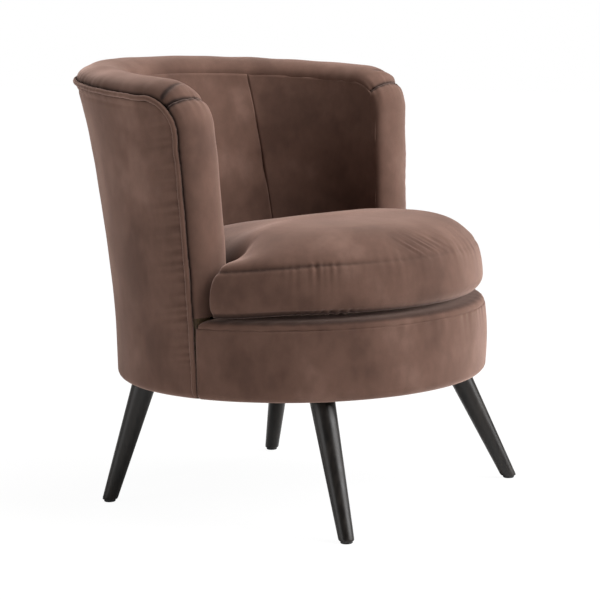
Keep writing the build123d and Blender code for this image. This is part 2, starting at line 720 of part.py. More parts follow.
# Straps under the deck: one layer from front to back, the other across it with its ends stepped down
for index, offset in enumerate(STRAP_OFFSETS):
    reach = sqrt((RING_OPENING + STRAP_LANDING) ** 2 - (abs(offset) + STRAP_WIDTH / 2) ** 2)
    with BuildPart() as strap:
        with Locations((offset, 0, SEAT_RING_TOP + STRAP_THICKNESS / 2)):
            Box(STRAP_WIDTH, 2 * reach, STRAP_THICKNESS)
    keep(strap.part, f"strap_lengthwise_{index + 1}")
    with BuildPart() as cross_strap:
        with BuildSketch(Plane.XZ.offset(-offset - STRAP_WIDTH / 2)):
            low = SEAT_RING_TOP
            high = UPPER_STRAP_BOTTOM
            flat = max(abs(o) for o in STRAP_OFFSETS) + STRAP_WIDTH / 2 + LAYER_GAP
            flat = min(flat, reach - STRAP_STEP)
            Polygon(
                (-reach, low),
                (-flat - STRAP_STEP, low),
                (-flat, high),
                (flat, high),
                (flat + STRAP_STEP, low),
                (reach, low),
                (reach, low + STRAP_THICKNESS),
                (flat + STRAP_STEP, low + STRAP_THICKNESS),
                (flat, high + STRAP_THICKNESS),
                (-flat, high + STRAP_THICKNESS),
                (-flat - STRAP_STEP, low + STRAP_THICKNESS),
                (-reach, low + STRAP_THICKNESS),
                align=None,
            )
        extrude(amount=STRAP_WIDTH)
    keep(cross_strap.part, f"strap_crosswise_{index + 1}")

# Dust cover under the base, cut round the legs
with BuildPart() as dust_cover:
    with BuildSketch(Plane.XY.offset(DRUM_BOTTOM)):
        Circle(COVER_RETURN)
        with Locations(*LEG_TOPS):
            Circle(LEG_TOP_RADIUS + LEG_HOLE_MARGIN, mode=Mode.SUBTRACT)
    extrude(amount=FABRIC - LAYER_GAP)
keep(dust_cover.part, "dust_cover")

# Legs, cut level at the base and at the glide, each with its bolt's hole
for name, (top_x, top_y, foot_x, foot_y) in LEG_PLACES.items():
    foot = Vector(foot_x, foot_y, 0)
    head = Vector(top_x, top_y, BASE_RING_BOTTOM)
    axis = (head - foot).normalized()
    length = (head - foot).length
    spare = LEG_TOP_RADIUS
    growth = (LEG_TOP_RADIUS - LEG_FOOT_RADIUS) / length
    with BuildPart() as leg:
        with BuildSketch(Plane(origin=foot - axis * spare, z_dir=axis)):
            Circle(LEG_FOOT_RADIUS - growth * spare)
        with BuildSketch(Plane(origin=head + axis * spare, z_dir=axis)):
            Circle(LEG_TOP_RADIUS + growth * spare)
        loft()
        split(bisect_by=Plane.XY.offset(BASE_RING_BOTTOM), keep=Keep.BOTTOM)
        split(bisect_by=Plane.XY.offset(GLIDE_HEIGHT), keep=Keep.TOP)
        with BuildSketch(Plane((top_x, top_y, BASE_RING_BOTTOM))):
            Circle(BOLT_RADIUS + BOLT_CLEARANCE)
        extrude(amount=-BOLT_DEPTH - BOLT_CLEARANCE, mode=Mode.SUBTRACT)
    keep(leg.part, f"leg_{name}")
    with BuildPart() as glide:
        glide_x, glide_y = foot.X + axis.X * GLIDE_HEIGHT, foot.Y + axis.Y * GLIDE_HEIGHT
        with BuildSketch(Plane((glide_x, glide_y, 0))):
            Circle(GLIDE_RADIUS)
        extrude(amount=GLIDE_HEIGHT)
        chamfer(glide.edges().group_by(Axis.Z)[0], GLIDE_HEIGHT / 4)
    keep(glide.part, f"glide_{name}")

with BuildPart() as leg_bolts:
    for x, y in LEG_TOPS:
        with BuildSketch(Plane((x, y, BASE_RING_BOTTOM - BOLT_DEPTH))):
            Circle(BOLT_RADIUS)
        extrude(amount=BOLT_DEPTH + RING_THICKNESS + T_NUT_PLATE)
keep(leg_bolts.part, "leg_bolts")

with BuildPart() as leg_inserts:
    for x, y in LEG_TOPS:
        with BuildSketch(Plane((x, y, BASE_RING_TOP - T_NUT_LENGTH))):
            Circle(T_NUT_BARREL)
            Circle(BOLT_RADIUS + BOLT_CLEARANCE, mode=Mode.SUBTRACT)
        extrude(amount=T_NUT_LENGTH)
        with BuildSketch(Plane((x, y, BASE_RING_TOP))):
            Circle(T_NUT_FLANGE)
            Circle(BOLT_RADIUS + BOLT_CLEARANCE, mode=Mode.SUBTRACT)
        extrude(amount=T_NUT_PLATE)
keep(leg_inserts.part, "leg_inserts")

# Loose cushion: a cover with a zip window at the rear, and the core inside it
with BuildPart() as cushion_cover:
    add(cushion_solid(0))
    add(cushion_solid(CUSHION_SKIN), mode=Mode.SUBTRACT)
    add(
        ring_sector(
            CUSHION_NECK - WADDING,
            CUSHION_NECK + WADDING,
            ZIP_MIDDLE - ZIP_WINDOW / 2,
            ZIP_MIDDLE + ZIP_WINDOW / 2,
            -ZIP_HALF_ANGLE,
            ZIP_HALF_ANGLE,
        ),
        mode=Mode.SUBTRACT,
    )
keep(cushion_cover.part, "cushion_cover")

with BuildPart() as cushion_core:
    add(cushion_solid(CUSHION_SKIN + CORE_GAP))
    add(
        ring_sector(
            TAPE_OUTER - ZIP_TAPE - LAYER_GAP,
            CUSHION_NECK + WADDING,
            ZIP_MIDDLE - ZIP_TAPE_HEIGHT / 2 - LAYER_GAP,
            ZIP_MIDDLE + ZIP_TAPE_HEIGHT / 2 + LAYER_GAP,
            -ZIP_HALF_ANGLE - 3,
            ZIP_HALF_ANGLE + 3,
        ),
        mode=Mode.SUBTRACT,
    )
keep(cushion_core.part, "cushion_core")

with BuildPart() as zip_tape:
    add(
        ring_sector(
            TAPE_OUTER - ZIP_TAPE,
            TAPE_OUTER,
            ZIP_MIDDLE - ZIP_TAPE_HEIGHT / 2,
            ZIP_MIDDLE + ZIP_TAPE_HEIGHT / 2,
            -ZIP_HALF_ANGLE - 2,
            ZIP_HALF_ANGLE + 2,
        )
    )
keep(zip_tape.part, "zip_tape")

with BuildPart() as zip_teeth:
    add(
        ring_sector(
            TAPE_OUTER,
            TEETH_OUTER,
            ZIP_MIDDLE - ZIP_TEETH_HEIGHT / 2,
            ZIP_MIDDLE + ZIP_TEETH_HEIGHT / 2,
            -ZIP_HALF_ANGLE + 1,
            ZIP_HALF_ANGLE - 1,
        )
    )
keep(zip_teeth.part, "zip_teeth")

with BuildPart() as zip_slider:
    add(
        ring_sector(
            TAPE_OUTER + ZIP_CLEARANCE,
            TAPE_OUTER + ZIP_CLEARANCE + SLIDER_THICKNESS,
            ZIP_MIDDLE - SLIDER_HEIGHT / 2,
            ZIP_MIDDLE + SLIDER_HEIGHT / 2,
            SLIDER_ANGLE - SLIDER_HALF_ANGLE,
            SLIDER_ANGLE + SLIDER_HALF_ANGLE,
        )
    )
    add(
        ring_sector(
            TAPE_OUTER,
            TEETH_OUTER + ZIP_CLEARANCE,
            ZIP_MIDDLE - ZIP_TEETH_HEIGHT / 2 - ZIP_CLEARANCE,
            ZIP_MIDDLE + ZIP_TEETH_HEIGHT / 2 + ZIP_CLEARANCE,
            SLIDER_ANGLE - 2 * SLIDER_HALF_ANGLE,
            SLIDER_ANGLE + 2 * SLIDER_HALF_ANGLE,
        ),
        mode=Mode.SUBTRACT,
    )
keep(zip_slider.part, "zip_slider")

# Every piece is moved so that the origin lies under the middle of the outline, and written out
boxes = [part.bounding_box() for part in pieces.values()]
low = [min(getattr(box.min, axis) for box in boxes) for axis in "XYZ"]
high = [max(getattr(box.max, axis) for box in boxes) for axis in "XYZ"]
shift = Vector(-(low[0] + high[0]) / 2, -(low[1] + high[1]) / 2, -low[2])
os.makedirs("parts", exist_ok=True)
for name, part in pieces.items():
    placed = part.moved(Location(shift))
    placed.label = name
    export_step(placed, f"parts/{name}.step")
print(f"pieces {len(pieces)}, shift {shift.X:.3f} {shift.Y:.3f} {shift.Z:.3f}")
print("low", [round(v, 2) for v in low], "high", [round(v, 2) for v in high])
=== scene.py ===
"""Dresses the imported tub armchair: velvet upholstery, loose cushion, zip, dust cloth and lacquered legs.

Every size is in metres. Shapes are worked out about the drum's upright axis, with the turn measured from straight
back towards the sitter's left, and are then moved to the frame.
"""

import json
import logging
from dataclasses import dataclass, field
from enum import Enum
from math import atan, inf, pi, radians
from typing import Dict, List, Optional, Sequence, Tuple, Union

import bmesh
import bpy
import numpy as np
from mathutils import Matrix, Vector, noise


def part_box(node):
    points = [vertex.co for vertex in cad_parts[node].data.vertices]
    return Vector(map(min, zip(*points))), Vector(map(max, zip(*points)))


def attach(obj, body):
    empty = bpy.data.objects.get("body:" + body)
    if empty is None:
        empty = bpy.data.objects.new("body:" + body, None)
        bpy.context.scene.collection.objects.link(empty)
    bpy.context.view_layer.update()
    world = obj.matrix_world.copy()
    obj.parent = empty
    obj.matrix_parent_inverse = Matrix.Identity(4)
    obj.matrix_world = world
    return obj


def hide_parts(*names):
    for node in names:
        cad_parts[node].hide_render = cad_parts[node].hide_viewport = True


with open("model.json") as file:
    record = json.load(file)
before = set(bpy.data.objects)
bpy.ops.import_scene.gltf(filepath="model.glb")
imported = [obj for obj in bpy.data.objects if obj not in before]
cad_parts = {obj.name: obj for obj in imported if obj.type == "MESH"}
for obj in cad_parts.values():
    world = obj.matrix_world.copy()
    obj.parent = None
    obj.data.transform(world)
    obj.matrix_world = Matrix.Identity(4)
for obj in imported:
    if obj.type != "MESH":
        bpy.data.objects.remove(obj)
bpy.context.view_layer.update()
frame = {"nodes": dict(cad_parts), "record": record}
LOG = logging.getLogger("tub_armchair")
Colour = Tuple[float, float, float]
Materials = Dict[str, bpy.types.Material]


def smooth(low: float, high: float, value: np.ndarray) -> np.ndarray:
    """Returns a soft step from 0 at low to 1 at high."""
    share = np.clip((value - low) / (high - low), 0.0, 1.0)
    return share * share * (3.0 - 2.0 * share)


def bump(value: np.ndarray, width: float) -> np.ndarray:
    """Returns a bell that is 1 at zero and fades over a width."""
    return np.exp(-((value / width) ** 2))


def fade(gap: np.ndarray, length: float) -> np.ndarray:
    """Returns a fall from 1 at zero that fades over a length."""
    return np.exp(-gap / length)


def polar(radius: np.ndarray, turn: np.ndarray, z: np.ndarray) -> np.ndarray:
    """Returns points at a radius, a turn and a height, as an array with x, y and z last."""
    return np.stack(np.broadcast_arrays(radius * np.sin(turn), radius * np.cos(turn), z), axis=-1)


def rows_between(low: float, high: np.ndarray, count: int) -> np.ndarray:
    """Returns rows of heights, evenly spaced from a level line to an upper line."""
    return low + (high - low)[None, :] * np.linspace(0.0, 1.0, count)[:, None]


def edged(values: np.ndarray, first: np.ndarray = 0.0, last: np.ndarray = 0.0, top: float = 0.0) -> np.ndarray:
    """Returns a grid with its outer columns and its last row repeated, each with something added."""
    values = np.concatenate((values[:, :1] + first, values, values[:, -1:] + last), axis=1)
    return np.concatenate((values, values[-1:] + top))


@dataclass(frozen=True)
class Crumple:
    """Soft unevenness of stretched cloth: its size, its features per metre and a seed."""

    size: float
    scale: float
    seed: float

    def at(self, points: np.ndarray) -> np.ndarray:
        """Returns the unevenness at points, whose last axis holds x, y and z."""
        flat = points.reshape(-1, 3) * self.scale + self.seed
        values = np.array([noise.noise(Vector(p)) for p in flat])
        return self.size * values.reshape(points.shape[:-1])


@dataclass(frozen=True)
class Ripple:
    """Seeded ripple along a seam, such as the small gathers beside stitching, which fades away from the seam."""

    seed: int
    shortest: float
    longest: float
    size: float
    reach: float = inf
    waves: int = 26

    def along(self, distance: np.ndarray, gap: np.ndarray = 0.0) -> np.ndarray:
        """Returns the ripple's height at distances along the seam and at a gap from it."""
        draw = np.random.default_rng(self.seed)
        lengths = draw.uniform(self.shortest, self.longest, self.waves)
        phases = draw.uniform(0.0, 2.0 * pi, self.waves)
        total = np.zeros_like(distance)
        for length, phase in zip(lengths, phases):
            total = total + np.sin(2.0 * pi * distance / length + phase)
        return self.size * total / np.sqrt(self.waves) * fade(np.abs(gap), self.reach)


@dataclass
class EdgeRun:
    """Stations along the rolled edge: where each lies, its direction outwards and its direction off the edge."""

    origin: np.ndarray
    across: np.ndarray
    off: np.ndarray
    rise: np.ndarray

    def joined(self, other: "EdgeRun") -> "EdgeRun":
        """Returns this run followed by another whose first station is this one's last."""
        pairs = ((getattr(self, name), getattr(other, name)[1:]) for name in ("origin", "across", "off", "rise"))
        return EdgeRun(*(np.concatenate(pair) for pair in pairs))

    def reversed(self) -> "EdgeRun":
        """Returns the same stations in the opposite order."""
        return EdgeRun(self.origin[::-1], self.across[::-1], self.off[::-1], self.rise[::-1])

    def along(self) -> np.ndarray:
        """Returns the distance travelled at each station."""
        steps = np.linalg.norm(np.diff(self.origin, axis=0), axis=1)
        return np.concatenate(([0.0], np.cumsum(steps)))

    def mirrored(self) -> "EdgeRun":
        """Returns the run's copy on the sitter's right."""
        flip = np.array((-1.0, 1.0, 1.0))
        return EdgeRun(self.origin * flip, self.across * flip, self.off * flip, self.rise)

    def over(self, top: "EdgeRun") -> "EdgeRun":
        """Returns this left-hand run, then the top, then this run's mirror image back down on the right."""
        return self.joined(top).joined(self.mirrored().reversed())

    def swept(self, across: np.ndarray, height: np.ndarray) -> np.ndarray:
        """Returns points, stations by columns, that lie across and off the edge by given distances."""
        return (self.origin[:, None, :] + across[:, :, None] * self.across[:, None, :]
                + height[:, :, None] * self.off[:, None, :])


@dataclass(frozen=True)
class TubForm:
    """Sizes of the drum and of the flared wall that stands on it."""

    axis_y: float
    radius: float = 0.320
    bottom: float = 0.216
    deck: float = 0.350
    border_seam: float = 0.334
    bottom_edge: float = 0.014
    flare: float = 0.023
    recline: float = 0.037
    flare_span: float = 0.499
    wall: float = 0.092
    roll_line: float = 0.703
    top_slope: float = 0.089
    front_low: float = -0.017
    front_lean: float = 0.03
    corner: float = 0.060
    top_rise: float = 0.027
    front_rise: float = 0.020
    under_rows: int = 6
    rounds: int = 8

    def wall_radius(self, turn: np.ndarray, z: np.ndarray, depth: np.ndarray) -> np.ndarray:
        """Returns the distance from the axis to the wall at a depth below its outer face."""
        rise = (z - self.bottom) / self.flare_span
        return self.radius + rise**2 * (self.flare + self.recline * np.cos(turn)) - depth

    def patch(self, turn: np.ndarray, z: np.ndarray, depth: np.ndarray) -> np.ndarray:
        """Returns points of the wall, as an array with x, y and z last."""
        return polar(self.wall_radius(turn, z, depth), turn, z)

    def placed(self, points: np.ndarray) -> np.ndarray:
        """Returns points moved from the drum's axis to the frame."""
        return points + np.array((0.0, self.axis_y, 0.0))

    def front_line(self, z: np.ndarray, inset: float = 0.0) -> np.ndarray:
        """Returns the Y of the arm's front line at a height."""
        return self.front_low + self.front_lean * (z - self.bottom) + inset

    def front_turn(self, z: np.ndarray, depth: float, inset: float) -> np.ndarray:
        """Returns the turn at which the wall meets the arm's front line."""
        return self.turn_at(self.front_line(z, inset), z, depth)[0]

    def normals(self) -> Tuple[float, float]:
        """Returns the tilt of the edge's direction on the arm's front and on the top."""
        return pi / 2 - atan(self.front_lean), atan(self.top_slope)

    def corner_centre(self) -> Tuple[float, float]:
        """Returns the Y and Z of the middle of the rounded corner."""
        front_shift = self.corner * np.sqrt(1 + self.front_lean**2)
        top_shift = self.corner * np.sqrt(1 + self.top_slope**2)
        y = self.front_line(self.roll_line - top_shift, front_shift)
        y = y / (1 - self.front_lean * self.top_slope)
        return y, self.roll_line + self.top_slope * y - top_shift

    def corner_outline(self, share: np.ndarray, inset: float) -> Tuple[np.ndarray, np.ndarray, np.ndarray]:
        """Returns the Y, Z and tilt round the corner, for shares from 0 on the front to 1 on the top."""
        front, top = self.normals()
        tilt = front + (top - front) * share
        y, z = self.corner_centre()
        reach = self.corner - inset
        return y - reach * np.sin(tilt), z + reach * np.cos(tilt), tilt

    def turn_at(self, y: np.ndarray, z: np.ndarray, depth: float) -> Tuple[np.ndarray, np.ndarray]:
        """Returns the turn and radius of the wall's point with a given Y and Z."""
        turn = np.full_like(np.asarray(y, dtype=float), pi / 2)
        for _ in range(self.rounds):
            radius = self.wall_radius(turn, z, depth)
            turn = np.arccos(y / radius)
        return turn, self.wall_radius(turn, z, depth)

    def top_height(self, turn: np.ndarray, depth: float, inset: float) -> np.ndarray:
        """Returns the height of the top line on the wall at a depth."""
        z = np.full_like(turn, self.roll_line)
        for _ in range(self.rounds):
            z = self.roll_line + self.top_slope * self.wall_radius(turn, z, depth) * np.cos(turn) - inset
        return z

    def half_edge(self, start: float, depth: float, inset: float, tops: int, corners: int
                  ) -> Tuple[np.ndarray, np.ndarray]:
        """Follows the edge on the sitter's left from a turn on the top round the corner to the arm's front.

        Args:
            start: Turn where the edge begins.
            depth: Depth of the face below the wall's outer face.
            inset: How far the edge is drawn in from the roll's seat.
            tops: Stations along the top.
            corners: Stations round the corner.

        Returns:
            The turn and the height at each station.
        """
        y, z, _ = self.corner_outline(np.linspace(1.0, 0.0, corners), inset)
        corner_turn, _ = self.turn_at(y, z, depth)
        top_turn = np.linspace(start, corner_turn[0], tops)[:-1]
        top_z = self.top_height(top_turn, depth, inset)
        return np.concatenate((top_turn, corner_turn)), np.concatenate((top_z, z))

    def frames(self, turn: np.ndarray, radius: np.ndarray, z: np.ndarray, tilt: np.ndarray, rise: np.ndarray
               ) -> EdgeRun:
        """Returns the stations of the rolled edge at known places."""
        outward = np.stack((np.sin(turn), np.cos(turn), np.zeros_like(turn)), axis=-1)
        off = np.stack((np.zeros_like(tilt), -np.sin(tilt), np.cos(tilt)), axis=-1)
        across = outward - off * np.sum(outward * off, axis=-1, keepdims=True)
        across = across / np.linalg.norm(across, axis=-1, keepdims=True)
        origin = outward * radius[:, None] + np.stack((0 * z, 0 * z, z), axis=-1)
        return EdgeRun(origin, across, off, rise)

    def front_run(self, low: float, count: int) -> EdgeRun:
        """Returns stations up the left arm's front, from a height to the corner."""
        _, high, _ = self.corner_outline(np.array(0.0), 0.0)
        z = np.linspace(low, float(high), count)
        turn, radius = self.turn_at(self.front_line(z), z, self.wall / 2)
        return self.frames(turn, radius, z, np.full(count, self.normals()[0]), np.full(count, self.front_rise))

    def corner_run(self, start: float, end: float, count: int) -> EdgeRun:
        """Returns stations round the left corner, between two shares of the turn from front to top."""
        share = np.linspace(start, end, count)
        y, z, tilt = self.corner_outline(share, 0.0)
        turn, radius = self.turn_at(y, z, self.wall / 2)
        return self.frames(turn, radius, z, tilt, self.front_rise + (self.top_rise - self.front_rise) * share)

    def top_run(self, count: int) -> EdgeRun:
        """Returns stations along the top, from the left corner to the right one."""
        y, z, _ = self.corner_outline(np.array([1.0]), 0.0)
        end = float(self.turn_at(y, z, self.wall / 2)[0][0])
        turn = np.linspace(end, -end, count)
        height = self.top_height(turn, self.wall / 2, 0.0)
        radius = self.wall_radius(turn, height, self.wall / 2)
        return self.frames(turn, radius, height, np.full(count, self.normals()[1]), np.full(count, self.top_rise))

    def turned_under(self, z: np.ndarray, depth: np.ndarray) -> Tuple[np.ndarray, np.ndarray]:
        """Returns a cover's heights and depths with rows added that turn under the drum's bottom edge."""
        angle = np.linspace(pi / 2, 0.0, self.under_rows + 1)[:-1, None]
        under_z = z[:1] - self.bottom_edge * np.sin(angle)
        under_depth = depth[:1] + self.bottom_edge * (1 - np.cos(angle))
        return np.concatenate((under_z, z)), np.concatenate((under_depth, depth))


@dataclass
class MeshDraft:
    """Vertices and faces collected before they become one mesh."""

    points: List[Sequence[float]] = field(default_factory=list)
    faces: List[Sequence[int]] = field(default_factory=list)

    def grid(self, points: np.ndarray, wrap: bool = False, caps: bool = False, flip: bool = False) -> None:
        """Adds a grid of quads.

        Args:
            points: Array of rows by columns by 3.
            wrap: Joins the last column to the first.
            caps: Closes the first and last row of a wrapped grid.
            flip: Turns the faces over.
        """
        rows, columns = points.shape[:2]
        base = len(self.points)
        self.points.extend(points.reshape(-1, 3).tolist())
        last = columns if wrap else columns - 1
        for row in range(rows - 1):
            for column in range(last):
                after = (column + 1) % columns
                quad = (row * columns + column, row * columns + after, (row + 1) * columns + after,
                        (row + 1) * columns + column)
                self.faces.append([base + i for i in (quad[::-1] if flip else quad)])
        if caps:
            for row in (0, rows - 1):
                self.pole(base + row * columns, columns, points[row].mean(axis=0))

    def pole(self, ring_start: int, count: int, point: Sequence[float]) -> None:
        """Closes a ring of vertices with a fan of triangles to one point."""
        self.points.append(list(point))
        hub = len(self.points) - 1
        for column in range(count):
            self.faces.append([ring_start + column, ring_start + (column + 1) % count, hub])

    def object(self, name: str, closed: bool) -> bpy.types.Object:
        """Makes the mesh object and links it.

        Args:
            name: Name of the piece.
            closed: Whether the shape is closed, so that its faces are turned outwards.

        Returns:
            The new object, at the origin.
        """
        mesh = bpy.data.meshes.new(name)
        mesh.from_pydata(self.points, [], self.faces)
        if closed:
            work = bmesh.new()
            work.from_mesh(mesh)
            bmesh.ops.recalc_face_normals(work, faces=work.faces)
            work.to_mesh(mesh)
            work.free()
        mesh.polygons.foreach_set("use_smooth", [True] * len(mesh.polygons))
        mesh.update()
        return linked(name, mesh)


def linked(name: str, data: bpy.types.ID) -> bpy.types.Object:
    """Makes an object of some data and links it to the scene."""
    piece = bpy.data.objects.new(name, data)
    bpy.context.scene.collection.objects.link(piece)
    return piece


def grid_piece(name: str, points: np.ndarray, closed: bool, **options: bool) -> bpy.types.Object:
    """Makes an object of one grid of quads, with the options of MeshDraft.grid."""
    draft = MeshDraft()
    draft.grid(points, **options)
    return draft.object(name, closed)


def bevelled_box(name: str, size: Sequence[float], bevel: float) -> bpy.types.Object:
    """Makes a small box with bevelled edges, at the origin."""
    work = bmesh.new()
    bmesh.ops.create_cube(work, size=1.0)
    bmesh.ops.scale(work, vec=size, verts=work.verts)
    bmesh.ops.bevel(work, geom=work.edges[:], offset=bevel, segments=1, affect="EDGES")
    mesh = bpy.data.meshes.new(name)
    work.to_mesh(mesh)
    work.free()
    return linked(name, mesh)


def settle(piece: bpy.types.Object) -> None:
    """Turns a piece's modifiers into its mesh."""
    graph = bpy.context.evaluated_depsgraph_get()
    mesh = bpy.data.meshes.new_from_object(piece.evaluated_get(graph))
    piece.modifiers.clear()
    piece.data = mesh


def vertex_values(piece: bpy.types.Object, name: str) -> np.ndarray:
    """Returns a vector of every point of the mesh: its place, "co", or its "normal"."""
    values = np.empty(len(piece.data.vertices) * 3)
    piece.data.vertices.foreach_get(name, values)
    return values.reshape(-1, 3)


def store_painted_shade(piece: bpy.types.Object, depth: np.ndarray) -> None:
    """Stores painted shade at each point, from 0 to 1, for the velvet to darken: shade painted into seams, folds, gaps
    and places that the chair's own parts keep from the lamps.
    """
    layer = piece.data.attributes.new("crease", "FLOAT", "POINT")
    layer.data.foreach_set("value", np.clip(depth, 0.0, 1.0).astype(np.float32))


def skin(piece: bpy.types.Object, thickness: float) -> None:
    """Gives an open sheet the thickness of cloth, inwards."""
    solid = piece.modifiers.new("cloth", "SOLIDIFY")
    solid.thickness = thickness
    solid.offset = -1.0


def set_inputs(node: bpy.types.Node, values: Dict[Union[str, int], object]) -> None:
    """Sets the plain values of a node's inputs, by name or number."""
    for name, value in values.items():
        node.inputs[name].default_value = value


@dataclass(frozen=True)
class Grain:
    """Noise on object coordinates: features per metre, octaves, stretch and the weight of the finer octaves."""

    scale: float
    detail: float
    stretch: Tuple[float, float, float] = (1.0, 1.0, 1.0)
    roughness: float = 0.5


@dataclass(frozen=True)
class Nodes:
    """Short way to lay out a material's nodes."""

    material: bpy.types.Material
    mix_colours: Tuple[int, int] = (6, 7)
    mix_result: int = 2

    def add(self, kind: str, **settings: object) -> bpy.types.Node:
        """Adds a node and sets its plain properties."""
        node = self.material.node_tree.nodes.new(kind)
        for name, value in settings.items():
            setattr(node, name, value)
        return node

    def link(self, source: bpy.types.NodeSocket, target: bpy.types.NodeSocket) -> None:
        """Joins two sockets."""
        self.material.node_tree.links.new(source, target)

    def noise(self, grain: Grain) -> bpy.types.NodeSocket:
        """Adds noise and returns its value socket."""
        place = self.add("ShaderNodeTexCoord")
        mapping = self.add("ShaderNodeMapping")
        texture = self.add("ShaderNodeTexNoise")
        set_inputs(mapping, {"Scale": grain.stretch})
        set_inputs(texture, {"Scale": grain.scale, "Detail": grain.detail, "Roughness": grain.roughness})
        self.link(place.outputs["Object"], mapping.inputs["Vector"])
        self.link(mapping.outputs["Vector"], texture.inputs["Vector"])
        return texture.outputs["Fac"]

    def ramp(self, value: bpy.types.NodeSocket, stops: Sequence[Tuple[float, Colour]]) -> bpy.types.NodeSocket:
        """Turns a value into colours and returns the colour socket."""
        ramp = self.add("ShaderNodeValToRGB")
        ramp.color_ramp.interpolation = "EASE"
        while len(ramp.color_ramp.elements) < len(stops):
            ramp.color_ramp.elements.new(0.5)
        for element, (place, colour) in zip(ramp.color_ramp.elements, stops):
            element.position = place
            element.color = (*colour, 1.0)
        self.link(value, ramp.inputs["Fac"])
        return ramp.outputs["Color"]

    def multiplied(self, amount: float, *colours: bpy.types.NodeSocket) -> bpy.types.NodeSocket:
        """Multiplies the first colour by the second, by an amount, and returns the result's socket."""
        mix = self.add("ShaderNodeMix", data_type="RGBA", blend_type="MULTIPLY")
        set_inputs(mix, {0: amount})
        for colour, place in zip(colours, self.mix_colours):
            self.link(colour, mix.inputs[place])
        return mix.outputs[self.mix_result]

    def bumped(self, height: bpy.types.NodeSocket, strength: float, distance: float,
               under: Optional[bpy.types.NodeSocket] = None) -> bpy.types.NodeSocket:
        """Turns a height into a normal, on top of another normal where one is given."""
        node = self.add("ShaderNodeBump")
        set_inputs(node, {"Strength": strength, "Distance": distance})
        self.link(height, node.inputs["Height"])
        if under is not None:
            self.link(under, node.inputs["Normal"])
        return node.outputs["Normal"]


def new_material(name: str) -> Tuple[bpy.types.Material, Nodes, bpy.types.Node]:
    """Returns a new material, its node helper and its principled shader."""
    material = bpy.data.materials.new(name)
    material.use_nodes = True
    shader = material.node_tree.nodes["Principled BSDF"]
    return material, Nodes(material), shader


def grey(level: float) -> Colour:
    """Returns a neutral colour."""
    return level, level, level


@dataclass(frozen=True)
class Velvet:
    """Short-pile velvet: brushed patches, a fine pile, a soft sheen at grazing angles, and painted shade stored on the
    points.
    """

    dark: Colour = (0.092, 0.049, 0.036)
    middle: Colour = (0.126, 0.069, 0.051)
    light: Colour = (0.178, 0.103, 0.079)
    # Base colour multiplier at full painted shade, in seams, folds and sheltered places.
    crease: Colour = (0.10, 0.08, 0.08)
    brushing: Grain = Grain(8.5, 3.0, (1.0, 1.0, 0.8), 0.55)
    strokes: Grain = Grain(60.0, 2.0, (1.0, 1.0, 0.7), 0.6)
    pile: Grain = Grain(1500.0, 2.0)
    sheen: float = 0.60
    sheen_roughness: float = 0.40
    sheen_tint: Colour = (1.0, 0.70, 0.60)
    roughness: float = 0.85
    specular: float = 0.15

    def material(self) -> bpy.types.Material:
        """Builds the velvet."""
        material, nodes, shader = new_material("mauve_brown_velvet")
        brushed, strokes, pile = (nodes.noise(grain) for grain in (self.brushing, self.strokes, self.pile))
        patches = nodes.ramp(brushed, ((0.32, self.dark), (0.50, self.middle), (0.70, self.light)))
        stroke_tone = nodes.ramp(strokes, ((0.30, grey(0.90)), (0.70, (1.07, 1.06, 1.06))))
        pile_tone = nodes.ramp(pile, ((0.25, grey(0.86)), (0.75, grey(1.12))))
        colour = nodes.multiplied(0.6, nodes.multiplied(0.7, patches, stroke_tone), pile_tone)
        # Painted shade: each point's stored shade value darkens the base colour towards the shade colour above.
        depth = nodes.add("ShaderNodeAttribute", attribute_name="crease")
        shadow = nodes.ramp(depth.outputs["Fac"], ((0.0, grey(1.0)), (1.0, self.crease)))
        nodes.link(nodes.multiplied(1.0, colour, shadow), shader.inputs["Base Color"])
        brushed_normal = nodes.bumped(strokes, 0.07, 0.002)
        nodes.link(nodes.bumped(pile, 0.22, 0.0006, brushed_normal), shader.inputs["Normal"])
        set_inputs(shader, {"Roughness": self.roughness, "Specular IOR Level": self.specular,
                            "Sheen Weight": self.sheen, "Sheen Roughness": self.sheen_roughness,
                            "Sheen Tint": (*self.sheen_tint, 1.0)})
        return material


@dataclass(frozen=True)
class Lacquer:
    """Black-brown satin lacquer over straight-grained wood."""

    dark: Colour = (0.0052, 0.0040, 0.0033)
    light: Colour = (0.0160, 0.0120, 0.0094)
    grain: Grain = Grain(95.0, 4.0, (1.0, 1.0, 0.05), 0.62)
    smoothest: float = 0.31
    roughest: float = 0.45
    specular: float = 0.35
    coat: float = 0.08
    coat_roughness: float = 0.3

    def material(self) -> bpy.types.Material:
        """Builds the lacquer."""
        material, nodes, shader = new_material("black_brown_lacquer")
        grain = nodes.noise(self.grain)
        nodes.link(nodes.ramp(grain, ((0.32, self.dark), (0.70, self.light))), shader.inputs["Base Color"])
        shade = nodes.ramp(grain, ((0.3, grey(self.smoothest)), (0.7, grey(self.roughest))))
        nodes.link(shade, shader.inputs["Roughness"])
        nodes.link(nodes.bumped(grain, 0.12, 0.0005), shader.inputs["Normal"])
        set_inputs(shader, {"Specular IOR Level": self.specular, "Coat Weight": self.coat,
                            "Coat Roughness": self.coat_roughness})
        return material


@dataclass(frozen=True)
class Weave:
    """A cloth or filling other than velvet: two tones, threads per metre, and faint clouds over them."""

    name: str
    dark: Colour
    light: Colour
    threads: float
    detail: float = 3.0
    clouds: Grain = Grain(30.0, 2.0)
    roughness: float = 0.9
    specular: float = 0.2

    def material(self) -> bpy.types.Material:
        """Builds the cloth."""
        material, nodes, shader = new_material(self.name)
        fibres = nodes.noise(Grain(self.threads, self.detail))
        tone = nodes.ramp(fibres, ((0.3, self.dark), (0.7, self.light)))
        shade = nodes.ramp(nodes.noise(self.clouds), ((0.3, grey(0.85)), (0.7, grey(1.1))))
        nodes.link(nodes.multiplied(0.7, tone, shade), shader.inputs["Base Color"])
        nodes.link(nodes.bumped(fibres, 0.3, 0.0006), shader.inputs["Normal"])
        set_inputs(shader, {"Roughness": self.roughness, "Specular IOR Level": self.specular})
        return material


